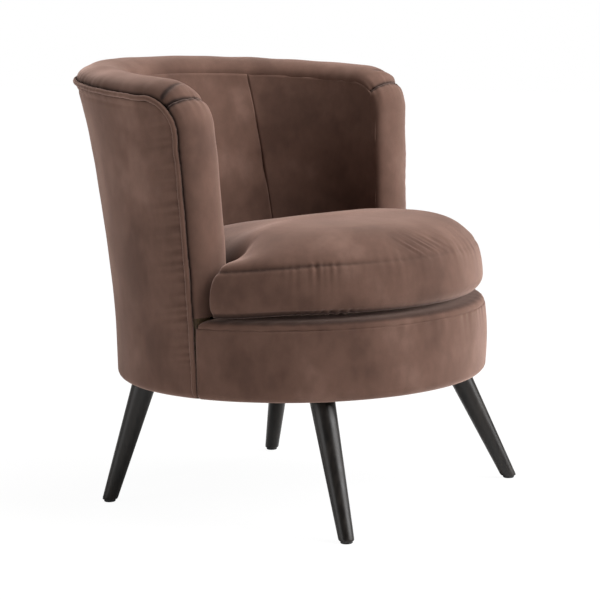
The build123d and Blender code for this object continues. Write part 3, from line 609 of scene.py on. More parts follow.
@dataclass(frozen=True)
class Plain:
    """A raw wood or a small hard part: two tones over one noise, with a slight relief."""

    name: str
    dark: Colour
    light: Colour
    grain: Grain = Grain(420.0, 3.0)
    stops: Tuple[float, float] = (0.35, 0.65)
    relief: Tuple[float, float] = (0.08, 0.0003)
    roughness: float = 0.5
    metallic: float = 0.0

    def material(self) -> bpy.types.Material:
        """Builds the finish."""
        material, nodes, shader = new_material(self.name)
        grain = nodes.noise(self.grain)
        tone = nodes.ramp(grain, tuple(zip(self.stops, (self.dark, self.light))))
        nodes.link(tone, shader.inputs["Base Color"])
        nodes.link(nodes.bumped(grain, *self.relief), shader.inputs["Normal"])
        set_inputs(shader, {"Metallic": self.metallic, "Roughness": self.roughness})
        return material


def raw_wood(name: str, dark: Colour, light: Colour, stretch: Sequence[float]) -> Plain:
    """Returns the finish of a board of the hidden frame."""
    return Plain(name, dark, light, Grain(70.0, 5.0, tuple(stretch), 0.6), (0.3, 0.7), (0.15, 0.0006), 0.7)


class Finish(Enum):
    """The finish of each material slot of the record, which has the same name in lower case."""

    VELVET = Velvet()
    FOAM = Weave("open_foam", (0.66, 0.60, 0.42), (0.84, 0.79, 0.60), 700.0)
    WADDING = Weave("loose_fibre", (0.72, 0.71, 0.68), (0.90, 0.89, 0.86), 300.0)
    FRAME_TIMBER = raw_wood("pale_plywood", (0.46, 0.31, 0.17), (0.68, 0.51, 0.32), (1.0, 0.12, 1.0))
    LINER_BOARD = raw_wood("brown_fibreboard", (0.20, 0.13, 0.08), (0.33, 0.23, 0.15), (1.0, 1.0, 1.0))
    LEG_WOOD = Lacquer()
    STEEL = Plain("zinc_plate", (0.45, 0.45, 0.46), (0.66, 0.66, 0.67), roughness=0.34, metallic=1.0)
    GLIDE_PLASTIC = Plain("black_moulded_glide", grey(0.010), grey(0.024), roughness=0.55)
    ZIP_PLASTIC = Plain("dyed_zip_moulding", (0.070, 0.042, 0.034), (0.110, 0.068, 0.055), roughness=0.42)
    ZIP_TAPE = Weave("zip_tape_weave", (0.060, 0.036, 0.029), (0.105, 0.064, 0.052), 1400.0)
    WEBBING = Weave("strap_weave", (0.30, 0.26, 0.20), (0.52, 0.47, 0.38), 500.0)
    DUST_CLOTH = Weave("black_dust_cloth", grey(0.012), (0.030, 0.030, 0.031), 900.0)

    @classmethod
    def materials(cls) -> Materials:
        """Builds every material once, by the name of its slot."""
        return {finish.name.lower(): finish.value.material() for finish in cls}


def fit_piece(piece: bpy.types.Object, finishes: Materials, body: str, slot: str, nodes: Sequence[str]) -> None:
    """Dresses a piece and ties it to the frame.

    Args:
        piece: The finished object.
        finishes: Every material, by slot.
        body: The body that it rides on.
        slot: The record's material slot.
        nodes: The nodes that it stands for.
    """
    if not piece.data.materials:
        piece.data.materials.append(finishes[slot])
    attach(piece, body)
    if nodes:
        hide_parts(*nodes)
    LOG.info("%s: %d faces on %s", piece.name, len(piece.data.polygons), body)


@dataclass
class WallCovers:
    """The outside panel and the three inside panels of the flared wall."""

    form: TubForm
    finishes: Materials
    cloth: float = 0.0015
    piping_inset: float = 0.0065
    rows: int = 84
    back_columns: int = 91
    outside_rows: int = 160
    seam_top: float = radians(37.0)
    seam_bottom: float = radians(46.0)
    seam_bottom_z: float = 0.350
    foot: float = 0.332
    crown: float = 0.0065
    tuck: float = 0.007
    lap: float = 0.00105
    hem_drop: float = 0.0135
    # Painted shade in the columns along the panels' seams, and over each whole inside arm panel.
    seam_shade: float = 0.3
    arm_shade: float = 0.12
    gathers: Ripple = Ripple(11, 0.012, 0.034, 0.0009, 0.014)
    pulls: Ripple = Ripple(12, 0.05, 0.15, 0.0007, 0.09)
    tugs: Ripple = Ripple(13, 0.010, 0.024, 0.0028, 0.020)
    long_tugs: Ripple = Ripple(14, 0.030, 0.075, 0.0012, 0.040)
    waves: Crumple = Crumple(0.0014, 7.0, 3.0)
    dents: Crumple = Crumple(0.0005, 22.0, 9.0)

    def build(self) -> None:
        """Builds all four panels."""
        self.outside()
        self.inside_back()
        for side, name, seed in ((1, "left", 41), (-1, "right", 47)):
            self.inside_arm(side, name, seed)

    def outside(self) -> None:
        """Builds the outside panel, from arm to arm, turned under at the bottom and tucked in at the piping."""
        form = self.form
        turn, top = form.half_edge(0.0, 0.0, self.piping_inset, 70, 22)
        turn = np.concatenate((-turn[:0:-1], turn))
        top = np.concatenate((top[:0:-1], top))
        share = turn / form.front_turn(top, 0.0, self.piping_inset)
        z = rows_between(form.bottom + form.bottom_edge, top, self.outside_rows)
        turns = share * form.front_turn(z, 0.0, self.piping_inset)
        points = form.patch(turns, z, np.zeros_like(z))
        below, across = top - z, turn * form.radius
        from_front = (1.0 - np.abs(share)) * form.radius * pi / 2
        edge_gap = np.minimum(below, from_front)
        swell = self.gathers.along(across, below) + self.pulls.along(across, below)
        swell += self.waves.at(points) + self.dents.at(points)
        tugs = self.tugs.along(z + 0.15 * from_front, from_front)
        tugs += self.long_tugs.along(z + 0.25 * from_front, from_front)
        swell += tugs * smooth(0.24, 0.30, z)
        hem = 0.0016 * bump(below - self.hem_drop, 0.0022) - 0.0007 * bump(below - 0.004, 0.005)
        swell -= 0.0016 * fade(edge_gap, 0.0040) + hem * smooth(0.10, 0.35, np.cos(turn))
        z, depth = form.turned_under(z, -swell)
        turns = np.pad(turns, ((form.under_rows, 0), (0, 0)), mode="edge")
        points = form.patch(edged(turns), edged(z, top=0.0008), edged(depth, self.tuck, self.tuck, self.tuck))
        piece = grid_piece("outside_panel", form.placed(points), closed=False, flip=True)
        # Painted shade that darkens the panel close to the piping and its tucked edges.
        crease = np.pad(0.8 * fade(edge_gap, 0.0030), ((form.under_rows, 1), (1, 1)), mode="edge")
        store_painted_shade(piece, crease.reshape(-1))
        skin(piece, self.cloth)
        fit_piece(piece, self.finishes, "chair", "velvet", ("outer_back_cover", "outer_back_wadding"))

    def seam_turn(self, z: np.ndarray) -> np.ndarray:
        """Returns the turn of the leaning seam between the inside panels."""
        share = (z - self.seam_bottom_z) / (self.form.roll_line - self.seam_bottom_z)
        return self.seam_bottom + (self.seam_top - self.seam_bottom) * share

    def inside_depth(self, turns: np.ndarray, z: np.ndarray, width: np.ndarray, seed: int) -> np.ndarray:
        """Shapes an inside panel: crowned between its seams, with creases of its own.

        Args:
            turns: Turn of each point, rows by columns.
            z: Height of each point.
            width: Place across the panel, from -1 to 1, one per column.
            seed: Picks the panel's creases.

        Returns:
            The depth of each point below the wall's outer face.
        """
        form = self.form
        points = form.patch(turns, z, np.full_like(z, form.wall))
        below = z[-1:] - z
        rise = smooth(0.47, 0.60, z) * smooth(0.0, 0.10, below)
        depth = form.wall + self.crown * rise * (1 - np.abs(width) ** 2.5)
        gathers = Ripple(seed, 0.016, 0.045, 0.0003, 0.022)
        depth += gathers.along(turns[-1] * (form.radius - form.wall), below)
        pulls = Ripple(seed + 1, 0.05, 0.16, 0.0009, 0.12)
        depth += pulls.along(z + 0.02 * width, 1 - np.abs(width)) * smooth(0.40, 0.50, z)
        depth += Crumple(0.0016, 6.5, seed * 1.7).at(points) * smooth(0.45, 0.55, z)
        return depth + Crumple(0.0005, 20.0, seed * 2.3).at(points)

    def panel_object(self, name: str, turns: np.ndarray, z: np.ndarray, depth: np.ndarray, nodes: Sequence[str],
                     shade: float = 0.0) -> None:
        """Closes a panel's edges, gives it thickness and ties it to the frame.

        Args:
            name: Name of the piece.
            turns: Turn of each point, rows by columns.
            z: Height of each point.
            depth: Depth of each point below the wall's outer face.
            nodes: The nodes that it stands for.
            shade: How much painted shade the panel gets away from its seams.
        """
        form = self.form
        sign = np.sign(turns[:, -1:] - turns[:, :1])
        lap = self.lap / (form.radius - form.wall) * sign
        depth = depth.copy()
        depth[:, [0, -1]] -= 0.0004
        depth[:, [1, -2]] -= 0.0001
        points = form.patch(edged(turns, -lap, lap), edged(z, top=0.0010),
                            edged(depth, -self.tuck, -self.tuck, -self.tuck))
        piece = grid_piece(name, form.placed(points), closed=False, flip=bool(sign[0, 0] < 0))
        # Painted shade: the given amount over the panel, more in the two outermost columns on each side, at the seams.
        shades = np.full(points.shape[:2], shade)
        shades[:, [0, 1, -2, -1]] = self.seam_shade
        store_painted_shade(piece, shades.reshape(-1))
        skin(piece, self.cloth)
        fit_piece(piece, self.finishes, "chair", "velvet", nodes)

    def inside_back(self) -> None:
        """Builds the middle inside panel between the two leaning seams."""
        form = self.form
        even = np.linspace(-1, 1, self.back_columns)
        width = np.sin(even * pi / 2) * 0.35 + even * 0.65
        z = rows_between(self.foot, form.top_height(width * self.seam_top, form.wall, 0.0), self.rows)
        turns = width * self.seam_turn(z)
        depth = self.inside_depth(turns, z, width, 31)
        self.panel_object("inside_back_panel", turns, z, depth, ("inside_back_cover", "inner_back_foam"))

    def inside_arm(self, side: int, name: str, seed: int) -> None:
        """Builds one inside arm panel, from the leaning seam round to the arm's front."""
        form = self.form
        turn, top = form.half_edge(self.seam_top - 0.004, form.wall, 0.0, 46, 20)
        seam = self.seam_turn(top)
        share = (turn - seam) / (form.front_turn(top, form.wall, 0.0) - seam)
        share = (share - share[0]) / (share[-1] - share[0])
        z = rows_between(self.foot, top, self.rows)
        seam = self.seam_turn(z)
        turns = seam + share * (form.front_turn(z, form.wall, 0.0) - seam)
        depth = self.inside_depth(turns, z, 2 * share - 1, seed)
        self.panel_object(f"inside_arm_panel_{name}", side * turns, z, depth, (f"inside_arm_cover_{name}",),
                          self.arm_shade)


@dataclass
class RolledEdge:
    """The padded roll along the arm fronts and the top, its seams, its pleats and the piping under it."""

    form: TubForm
    finishes: Materials
    arch_points: int = 35
    seam_share: float = 0.5
    pinch: float = 0.0036
    pleat_place: float = 0.012
    valley: float = 0.0008
    skirt: Tuple[Tuple[float, float, float], ...] = (
        (-1.0, 0.0000, -0.004), (-1.0, 0.0006, -0.010), (-1.0, 0.0018, -0.018), (-1.0, 0.0045, -0.026),
        (-1.0, 0.0100, -0.028), (0.0, 0.0, -0.014), (1.0, -0.0040, -0.009), (1.0, -0.0016, -0.003))
    piping_radius: float = 0.0043
    piping_proud: float = 0.0060
    piping_gap: float = -0.0009
    wrap: Ripple = Ripple(71, 0.006, 0.016, 0.045)
    wander: Ripple = Ripple(72, 0.03, 0.09, 0.0004)

    def build(self) -> None:
        """Builds the top roll, both arm rolls and the piping."""
        form = self.form
        top = form.corner_run(self.seam_share, 1.0, 22).over(form.top_run(230))
        self.roll(top, "top_roll", ("top_border_cover", "top_roll_pad"), 51, (True, True))
        lower = form.front_run(form.deck + 0.0005, 80).joined(form.corner_run(0.0, self.seam_share, 22))
        for run, name, seed in ((lower, "left", 57), (lower.mirrored(), "right", 63)):
            nodes = (f"arm_facing_{name}", f"arm_roll_pad_{name}")
            self.roll(run, f"arm_roll_{name}", nodes, seed, (False, True))
        self.piping()

    def roll(self, run: EdgeRun, name: str, nodes: Sequence[str], seed: int, seams: Tuple[bool, bool]) -> None:
        """Builds one length of the roll.

        Args:
            run: Its stations.
            name: Name of the piece.
            nodes: The nodes that it stands for.
            seed: Picks its gathers.
            seams: Whether its first and its last end meet a seam.
        """
        half = self.form.wall / 2
        along = run.along()[:, None]
        rise = run.rise[:, None]
        angle = np.linspace(0.0, pi, self.arch_points)[None, :]
        across = half * np.cos(angle) + 0 * rise
        height = rise * np.sin(angle) ** 0.9
        out = np.stack((np.cos(angle) * rise, np.sin(angle) * half + 0 * rise), axis=-1)
        out = out / np.linalg.norm(out, axis=-1, keepdims=True)
        steps = np.hypot(np.diff(across, axis=1), np.diff(height, axis=1))
        from_piping = np.concatenate((0 * rise, np.cumsum(steps, axis=1)), axis=1)
        from_inner = from_piping[:, -1:] - from_piping
        swell = Ripple(seed, 0.012, 0.032, 0.0005, 0.012).along(along, from_piping)
        swell += 0.0003 * fade(from_inner, 0.020) - self.valley * fade(from_piping, 0.004)
        swell += Ripple(seed + 2, 0.07, 0.22, 0.0006).along(along)
        # Painted shade: dark beside the piping, fading over the roll's half nearest it, and at seams, pleats and the
        # side of the skirt next to the piping.
        crease = 0.6 * bump(from_piping, 0.0040) + 0.30 * smooth(0.058, 0.012, from_piping)
        ends = [gap for gap, seam in zip((along, along[-1] - along), seams) if seam]
        for gap in ends:
            swell += Ripple(seed + 3, 0.010, 0.024, 0.0009, 0.014).along(from_piping, gap)
            swell -= self.pinch * bump(gap, 0.0060)
            crease += 0.95 * bump(gap, 0.0034)
        if all(seams):
            cover = smooth(0.002, 0.010, from_piping) * smooth(0.085, 0.055, from_piping)
            for gap in ends:
                lean = gap - self.pleat_place - 0.22 * from_piping
                swell += cover * (0.0020 * bump(lean + 0.0060, 0.0050) - 0.0018 * bump(lean, 0.0036))
                crease += 0.9 * cover * bump(lean, 0.0030)
        side, inset, drop = np.array(self.skirt).T
        across = np.concatenate((across + swell * out[..., 0], side * half + inset + 0 * rise), axis=1)
        height = np.concatenate((height + swell * out[..., 1], drop + 0 * rise), axis=1)
        crease = np.concatenate((crease, (side > 0) + 0 * rise), axis=1)
        self.tube(name, run.swept(across, height), crease, nodes)

    def tube(self, name: str, points: np.ndarray, crease: np.ndarray, nodes: Sequence[str]
             ) -> None:
        """Makes a closed length of rings with its painted shade, giving the two end caps full painted shade as in a
        seam, and ties it to the frame.
        """
        piece = grid_piece(name, self.form.placed(points), closed=True, wrap=True, caps=True)
        store_painted_shade(piece, np.concatenate((crease.reshape(-1), np.ones(2))))
        fit_piece(piece, self.finishes, "chair", "velvet", nodes)

    def piping(self) -> None:
        """Builds the corded welt from one side of the drum's bottom, over the top, to the other side."""
        form = self.form
        left = form.front_run(form.bottom + 0.004, 150).joined(form.corner_run(0.0, 1.0, 44))
        run = left.over(form.top_run(300))
        along = run.along()[:, None]
        ends = np.minimum(along, along[-1] - along)
        angle = np.linspace(0.0, 2 * pi, 15)[None, :-1]
        radius = self.piping_radius * (1.0 + self.wrap.along(along)) * (0.55 + 0.45 * smooth(0.0, 0.006, ends))
        across = form.wall / 2 - self.piping_radius + self.piping_proud - 0.004 * (1 - smooth(0.0, 0.012, ends))
        across = across + radius * np.cos(angle)
        height = self.wander.along(along) - self.piping_radius - self.piping_gap + radius * np.sin(angle)
        # Painted shade on the side of the cord that faces in, towards the grooves beside it.
        crease = 0.9 * smooth(0.45, -0.35, np.cos(angle)) + 0 * radius
        self.tube("piping_welt", run.swept(across, height), crease, ("piping",))


def arc(x: float, y: float, radius: float, angle: np.ndarray) -> np.ndarray:
    """Returns points of a level arc about a centre, with x and y last."""
    return np.stack((x + radius * np.cos(angle), y + radius * np.sin(angle)), axis=-1)


@dataclass(frozen=True)
class TeePlan:
    """Plan of the seat: a wide round front with two ears, and a narrower round rear between the arms."""

    front: float
    neck: float
    shoulder: float
    corner: float
    root: float = 0.010

    def outline(self) -> Tuple[np.ndarray, np.ndarray]:
        """Returns the outline's points, closed and counter-clockwise, and how far each belongs to the front."""
        ear_y = self.shoulder - self.corner
        ear_x = np.sqrt((self.front - self.corner) ** 2 - ear_y**2)
        ear_angle = np.arctan2(ear_y, ear_x)
        root_y = self.shoulder + self.root
        root_x = np.sqrt((self.neck + self.root) ** 2 - root_y**2)
        root_angle = np.arctan2(root_y, root_x)
        swing = np.linspace(-pi / 2, ear_angle, 56)[:-1]
        turn = np.linspace(ear_angle, pi / 2, 14)[:-1]
        line = np.linspace(ear_x, root_x, 9)[:-1]
        bend = np.linspace(-pi / 2, -pi + root_angle, 8)[:-1]
        rear = np.linspace(root_angle, pi / 2, 50)
        right = np.concatenate((
            arc(0.0, 0.0, self.front, swing), arc(ear_x, ear_y, self.corner, turn),
            np.stack((line, np.full_like(line, self.shoulder)), axis=-1),
            arc(root_x, root_y, self.root, bend), arc(0.0, 0.0, self.neck, rear)))
        behind = np.zeros(len(line) + len(bend) + len(rear))
        ahead = np.concatenate((np.ones(len(swing)), np.linspace(1.0, 0.0, len(turn)), behind))
        left = right[-2:0:-1] * np.array((-1.0, 1.0))
        return np.concatenate((right, left)), np.concatenate((ahead, ahead[-2:0:-1]))


@dataclass
class Drum:
    """The drum's front border, the deck with its rolled lip, and the dust cloth underneath."""

    form: TubForm
    finishes: Materials
    cloth: float = 0.0015
    tuck: float = 0.007
    border_gap: float = 0.0006
    border_swell: float = 0.0032
    gathers: Ripple = Ripple(81, 0.016, 0.05, 0.0005, 0.014)
    pulls: Ripple = Ripple(82, 0.05, 0.16, 0.0007, 0.05)
    waves: Crumple = Crumple(0.0012, 8.0, 17.0)
    dents: Crumple = Crumple(0.0004, 24.0, 5.0)
    side_turns: Tuple[float, float] = (radians(30.0), radians(62.0))
    lip: Tuple[Tuple[float, float], ...] = (
        (0.010, 0.3326), (0.0034, 0.3328), (0.0008, 0.3346), (0.0004, 0.3374), (0.0022, 0.3408),
        (0.0060, 0.3438), (0.0114, 0.3460), (0.0185, 0.3474), (0.0330, 0.3486), (0.0600, 0.3496))
    lip_ripple: Ripple = Ripple(86, 0.014, 0.045, 0.0005)
    deck_middle: Tuple[float, float, float] = (0.0, -0.15, 0.3496)
    deck_under: float = 0.3252
    # Painted shade of the deck's top under the cushion.
    deck_shade: float = 0.72
    dust_radius: float = 0.3045
    dust_thickness: float = 0.0004
    dust_waves: Crumple = Crumple(0.0010, 9.0, 2.0)

    def build(self) -> None:
        """Builds the border, the deck and the dust cloth."""
        self.border()
        self.deck()
        self.dust_cloth()

    def border(self) -> None:
        """Builds the front border between the two ends of the piping, tucked under its top seam."""
        form = self.form
        start = np.arccos((form.front_low - self.border_gap) / form.radius)
        end = 2 * pi - start
        turn = np.linspace(start, end, 240)
        low = form.bottom + form.bottom_edge
        z = np.linspace(low, form.border_seam, 34)[:, None] + 0 * turn
        below, across = form.border_seam - z, turn * form.radius
        points = polar(form.radius, turn, z)
        full = smooth(start, start + 0.25, turn) * smooth(end, end - 0.25, turn)
        arch = np.sin(pi * (z - low + 0.012) / (form.border_seam - low + 0.024))
        swell = (0.0008 + self.border_swell * full) * arch
        swell += self.gathers.along(across, below) + self.pulls.along(across, below)
        swell += self.waves.at(points) + self.dents.at(points)
        sides = smooth(*self.side_turns, np.abs(turn - pi))
        swell -= 0.0014 * sides * fade(below, 0.0026) + 0.0011 * (1 - sides) * fade(below, 0.020)
        z, depth = form.turned_under(z, -swell)
        z = np.concatenate((z, z[-1:] + 0.0006))
        depth = np.concatenate((depth, depth[-1:] + self.tuck))
        points = polar(form.radius - depth, turn, z)
        piece = grid_piece("front_border", form.placed(points), closed=False, flip=True)
        skin(piece, self.cloth)
        fit_piece(piece, self.finishes, "chair", "velvet", ("front_border_cover", "front_border_wadding"))

    def deck(self) -> None:
        """Builds the deck under the cushion, whose front edge rolls down to the border's seam."""
        form = self.form
        rings = []
        for inset, z in self.lip:
            plan = TeePlan(form.radius - inset, form.radius - form.wall - 0.0008 - inset,
                           form.front_low - 0.0012 - inset, 0.006)
            outline, ahead = plan.outline()
            rings.append(np.column_stack((outline, np.full(len(outline), z))))
        rings = np.array(rings)
        aside = np.arctan2(rings[3, :, 0], -rings[3, :, 1])
        rings[1:7, :, 2] += self.lip_ripple.along(aside * form.radius) * ahead
        middle = smooth(*self.side_turns[::-1], np.abs(aside)) * ahead
        rings[1:3, :, :2] *= 1.0 + np.array((0.0026, 0.0006))[:, None, None] * middle[None, :, None] / form.radius
        centre = np.array(self.deck_middle)
        inner = [centre + (rings[-1] - centre) * share for share in (0.7, 0.4, 0.15)]
        under = rings[:1] * np.array((1.0, 1.0, 0.0)) + np.array((0.0, 0.0, self.deck_under))
        rings = np.concatenate((under, rings, np.array(inner)))
        draft = MeshDraft()
        draft.grid(form.placed(rings), wrap=True)
        count = rings.shape[1]
        draft.pole((rings.shape[0] - 1) * count, count, form.placed(centre))
        draft.pole(0, count, form.placed(np.array((*self.deck_middle[:2], self.deck_under))))
        piece = draft.object("seat_deck", closed=True)
        # Painted shade over the deck's top under the cushion: none on the lip's front, full further in and at the top's
        # middle, none underneath.
        depths = [0.0, *(inset if z > 0.34 else 0.0 for inset, z in self.lip), *(0.1,) * len(inner)]
        shade = np.repeat(self.deck_shade * smooth(0.001, 0.009, np.array(depths)), count)
        store_painted_shade(piece, np.concatenate((shade, (self.deck_shade, 0.0))))
        fit_piece(piece, self.finishes, "chair", "velvet", ("seat_deck_cover", "seat_deck_pad"))

    def dust_cloth(self) -> None:
        """Builds the dust cloth, stretched and stapled under the base with a slight sag."""
        form = self.form
        radii = np.concatenate((np.linspace(0.02, self.dust_radius - 0.012, 24), [self.dust_radius]))[:, None]
        turn = np.linspace(0.0, 2 * pi, 129)[:-1]
        points = polar(radii, turn, 0.0)
        slack = smooth(self.dust_radius, 0.15, radii)
        points[:, :, 2] = form.bottom + 0.0006 - slack * (0.0012 + self.dust_waves.at(points))
        draft = MeshDraft()
        draft.grid(form.placed(points), wrap=True)
        draft.pole(0, len(turn), form.placed(np.array((0.0, 0.0, points[0, :, 2].mean()))))
        piece = draft.object("dust_cloth", closed=True)
        if piece.data.polygons[0].normal.z > 0:
            piece.data.flip_normals()
        skin(piece, self.dust_thickness)
        fit_piece(piece, self.finishes, "chair", "dust_cloth", ("dust_cover",))


@dataclass
class Legs:
    """Four turned, tapered and splayed legs."""

    form: TubForm
    finishes: Materials
    head_z: float = 0.2175
    glide: float = 0.004
    head_radius: float = 0.021
    foot_radius: float = 0.0125
    head: Tuple[float, float] = (0.205, 0.183)
    front_foot: Tuple[float, float] = (0.264, 0.267)
    rear_foot: Tuple[float, float] = (0.242, 0.244)
    foot_edge: Tuple[Tuple[float, float], ...] = ((0.0, 0.0022), (0.0004, 0.0009), (0.0014, 0.0002), (0.004, 0.0))
    shaft: Tuple[float, float] = (0.012, 0.2115)
    length: float = 0.2135

    def build(self) -> None:
        """Builds every leg."""
        for side, hand in ((1, "left"), (-1, "right")):
            for end, foot, name in ((-1, self.front_foot, "front"), (1, self.rear_foot, "rear")):
                head = np.array((side * self.head[0], end * self.head[1], self.head_z))
                toe = np.array((side * foot[0], end * foot[1], 0.0))
                self.leg(f"{name}_{hand}", toe, head)

    def leg(self, name: str, toe: np.ndarray, head: np.ndarray) -> None:
        """Builds one leg as rings that lie level, so both ends are cut flat."""
        axis = (head - toe) / self.head_z
        heights = [*np.linspace(*self.shaft, 22), self.length]
        around = np.linspace(0.0, 2 * pi, 41)[:-1]
        lean = axis[:2] / np.linalg.norm(axis[:2])
        stretch = np.linalg.norm(axis)
        rings = []
        for height, drop in (*self.foot_edge, *((height, 0.0) for height in heights)):
            z = self.glide + height
            share = z / self.head_z
            radius = self.foot_radius + (self.head_radius - self.foot_radius) * share - drop
            along = np.cos(around) * radius * stretch
            sideways = np.sin(around) * radius
            middle = toe + axis * z
            x = middle[0] + along * lean[0] - sideways * lean[1]
            y = middle[1] + along * lean[1] + sideways * lean[0]
            rings.append(np.stack((x, y, np.full_like(x, z)), axis=-1))
        points = self.form.placed(np.array(rings))
        piece = grid_piece(f"turned_leg_{name}", points, closed=True, wrap=True, caps=True)
        fit_piece(piece, self.finishes, "chair", "leg_wood", (f"leg_{name}",))


@dataclass
class Membrane:
    """A skin blown up over the seat's plan, which tells how far inside the cushion a place feels."""

    front: float
    neck: float
    shoulder: float
    step: float = 0.005
    rounds: int = 320
    haste: float = 1.93
    edge: float = 0.33
    deepest: float = 0.30
    aim: float = radians(35.0)

    def __post_init__(self) -> None:
        """Relaxes the skin, held along the outline."""
        count = int(round(2 * self.edge / self.step)) + 1
        line = np.linspace(-self.edge, self.edge, count)
        x, y = np.meshgrid(line, line, indexing="ij")
        inside = np.hypot(x, y) <= np.where(y <= self.shoulder, self.front, self.neck)
        checker = np.add.outer(np.arange(count), np.arange(count)) % 2 == 0
        skin_height = np.zeros_like(x)
        for _ in range(self.rounds):
            for half in (inside & checker, inside & ~checker):
                around = sum(np.roll(skin_height, way, axis) for way in (1, -1) for axis in (0, 1)) / 4
                pull = around + self.step**2 / 4 - skin_height
                skin_height = skin_height + np.where(half, self.haste * pull, 0.0)
        self.skin_height = skin_height
        self.insets = np.linspace(0.0, self.deepest, 121)
        reach = self.front - self.insets
        self.reference = np.maximum.accumulate(self.height(reach * np.sin(self.aim), -reach * np.cos(self.aim)))

    def height(self, x: np.ndarray, y: np.ndarray) -> np.ndarray:
        """Returns the skin's height between the grid's points."""
        top = self.skin_height.shape[0] - 2
        place = [np.clip((value + self.edge) / self.step, 0.0, top + 0.999) for value in (x, y)]
        column, row = (value.astype(int) for value in place)
        right, up = place[0] - column, place[1] - row
        low = self.skin_height[column, row] * (1 - right) + self.skin_height[column + 1, row] * right
        high = self.skin_height[column, row + 1] * (1 - right) + self.skin_height[column + 1, row + 1] * right
        return low * (1 - up) + high * up

    def inset(self, x: np.ndarray, y: np.ndarray) -> np.ndarray:
        """Returns how far in from the round front a place of the same skin height lies."""
        return np.interp(self.height(x, y), self.reference, self.insets)


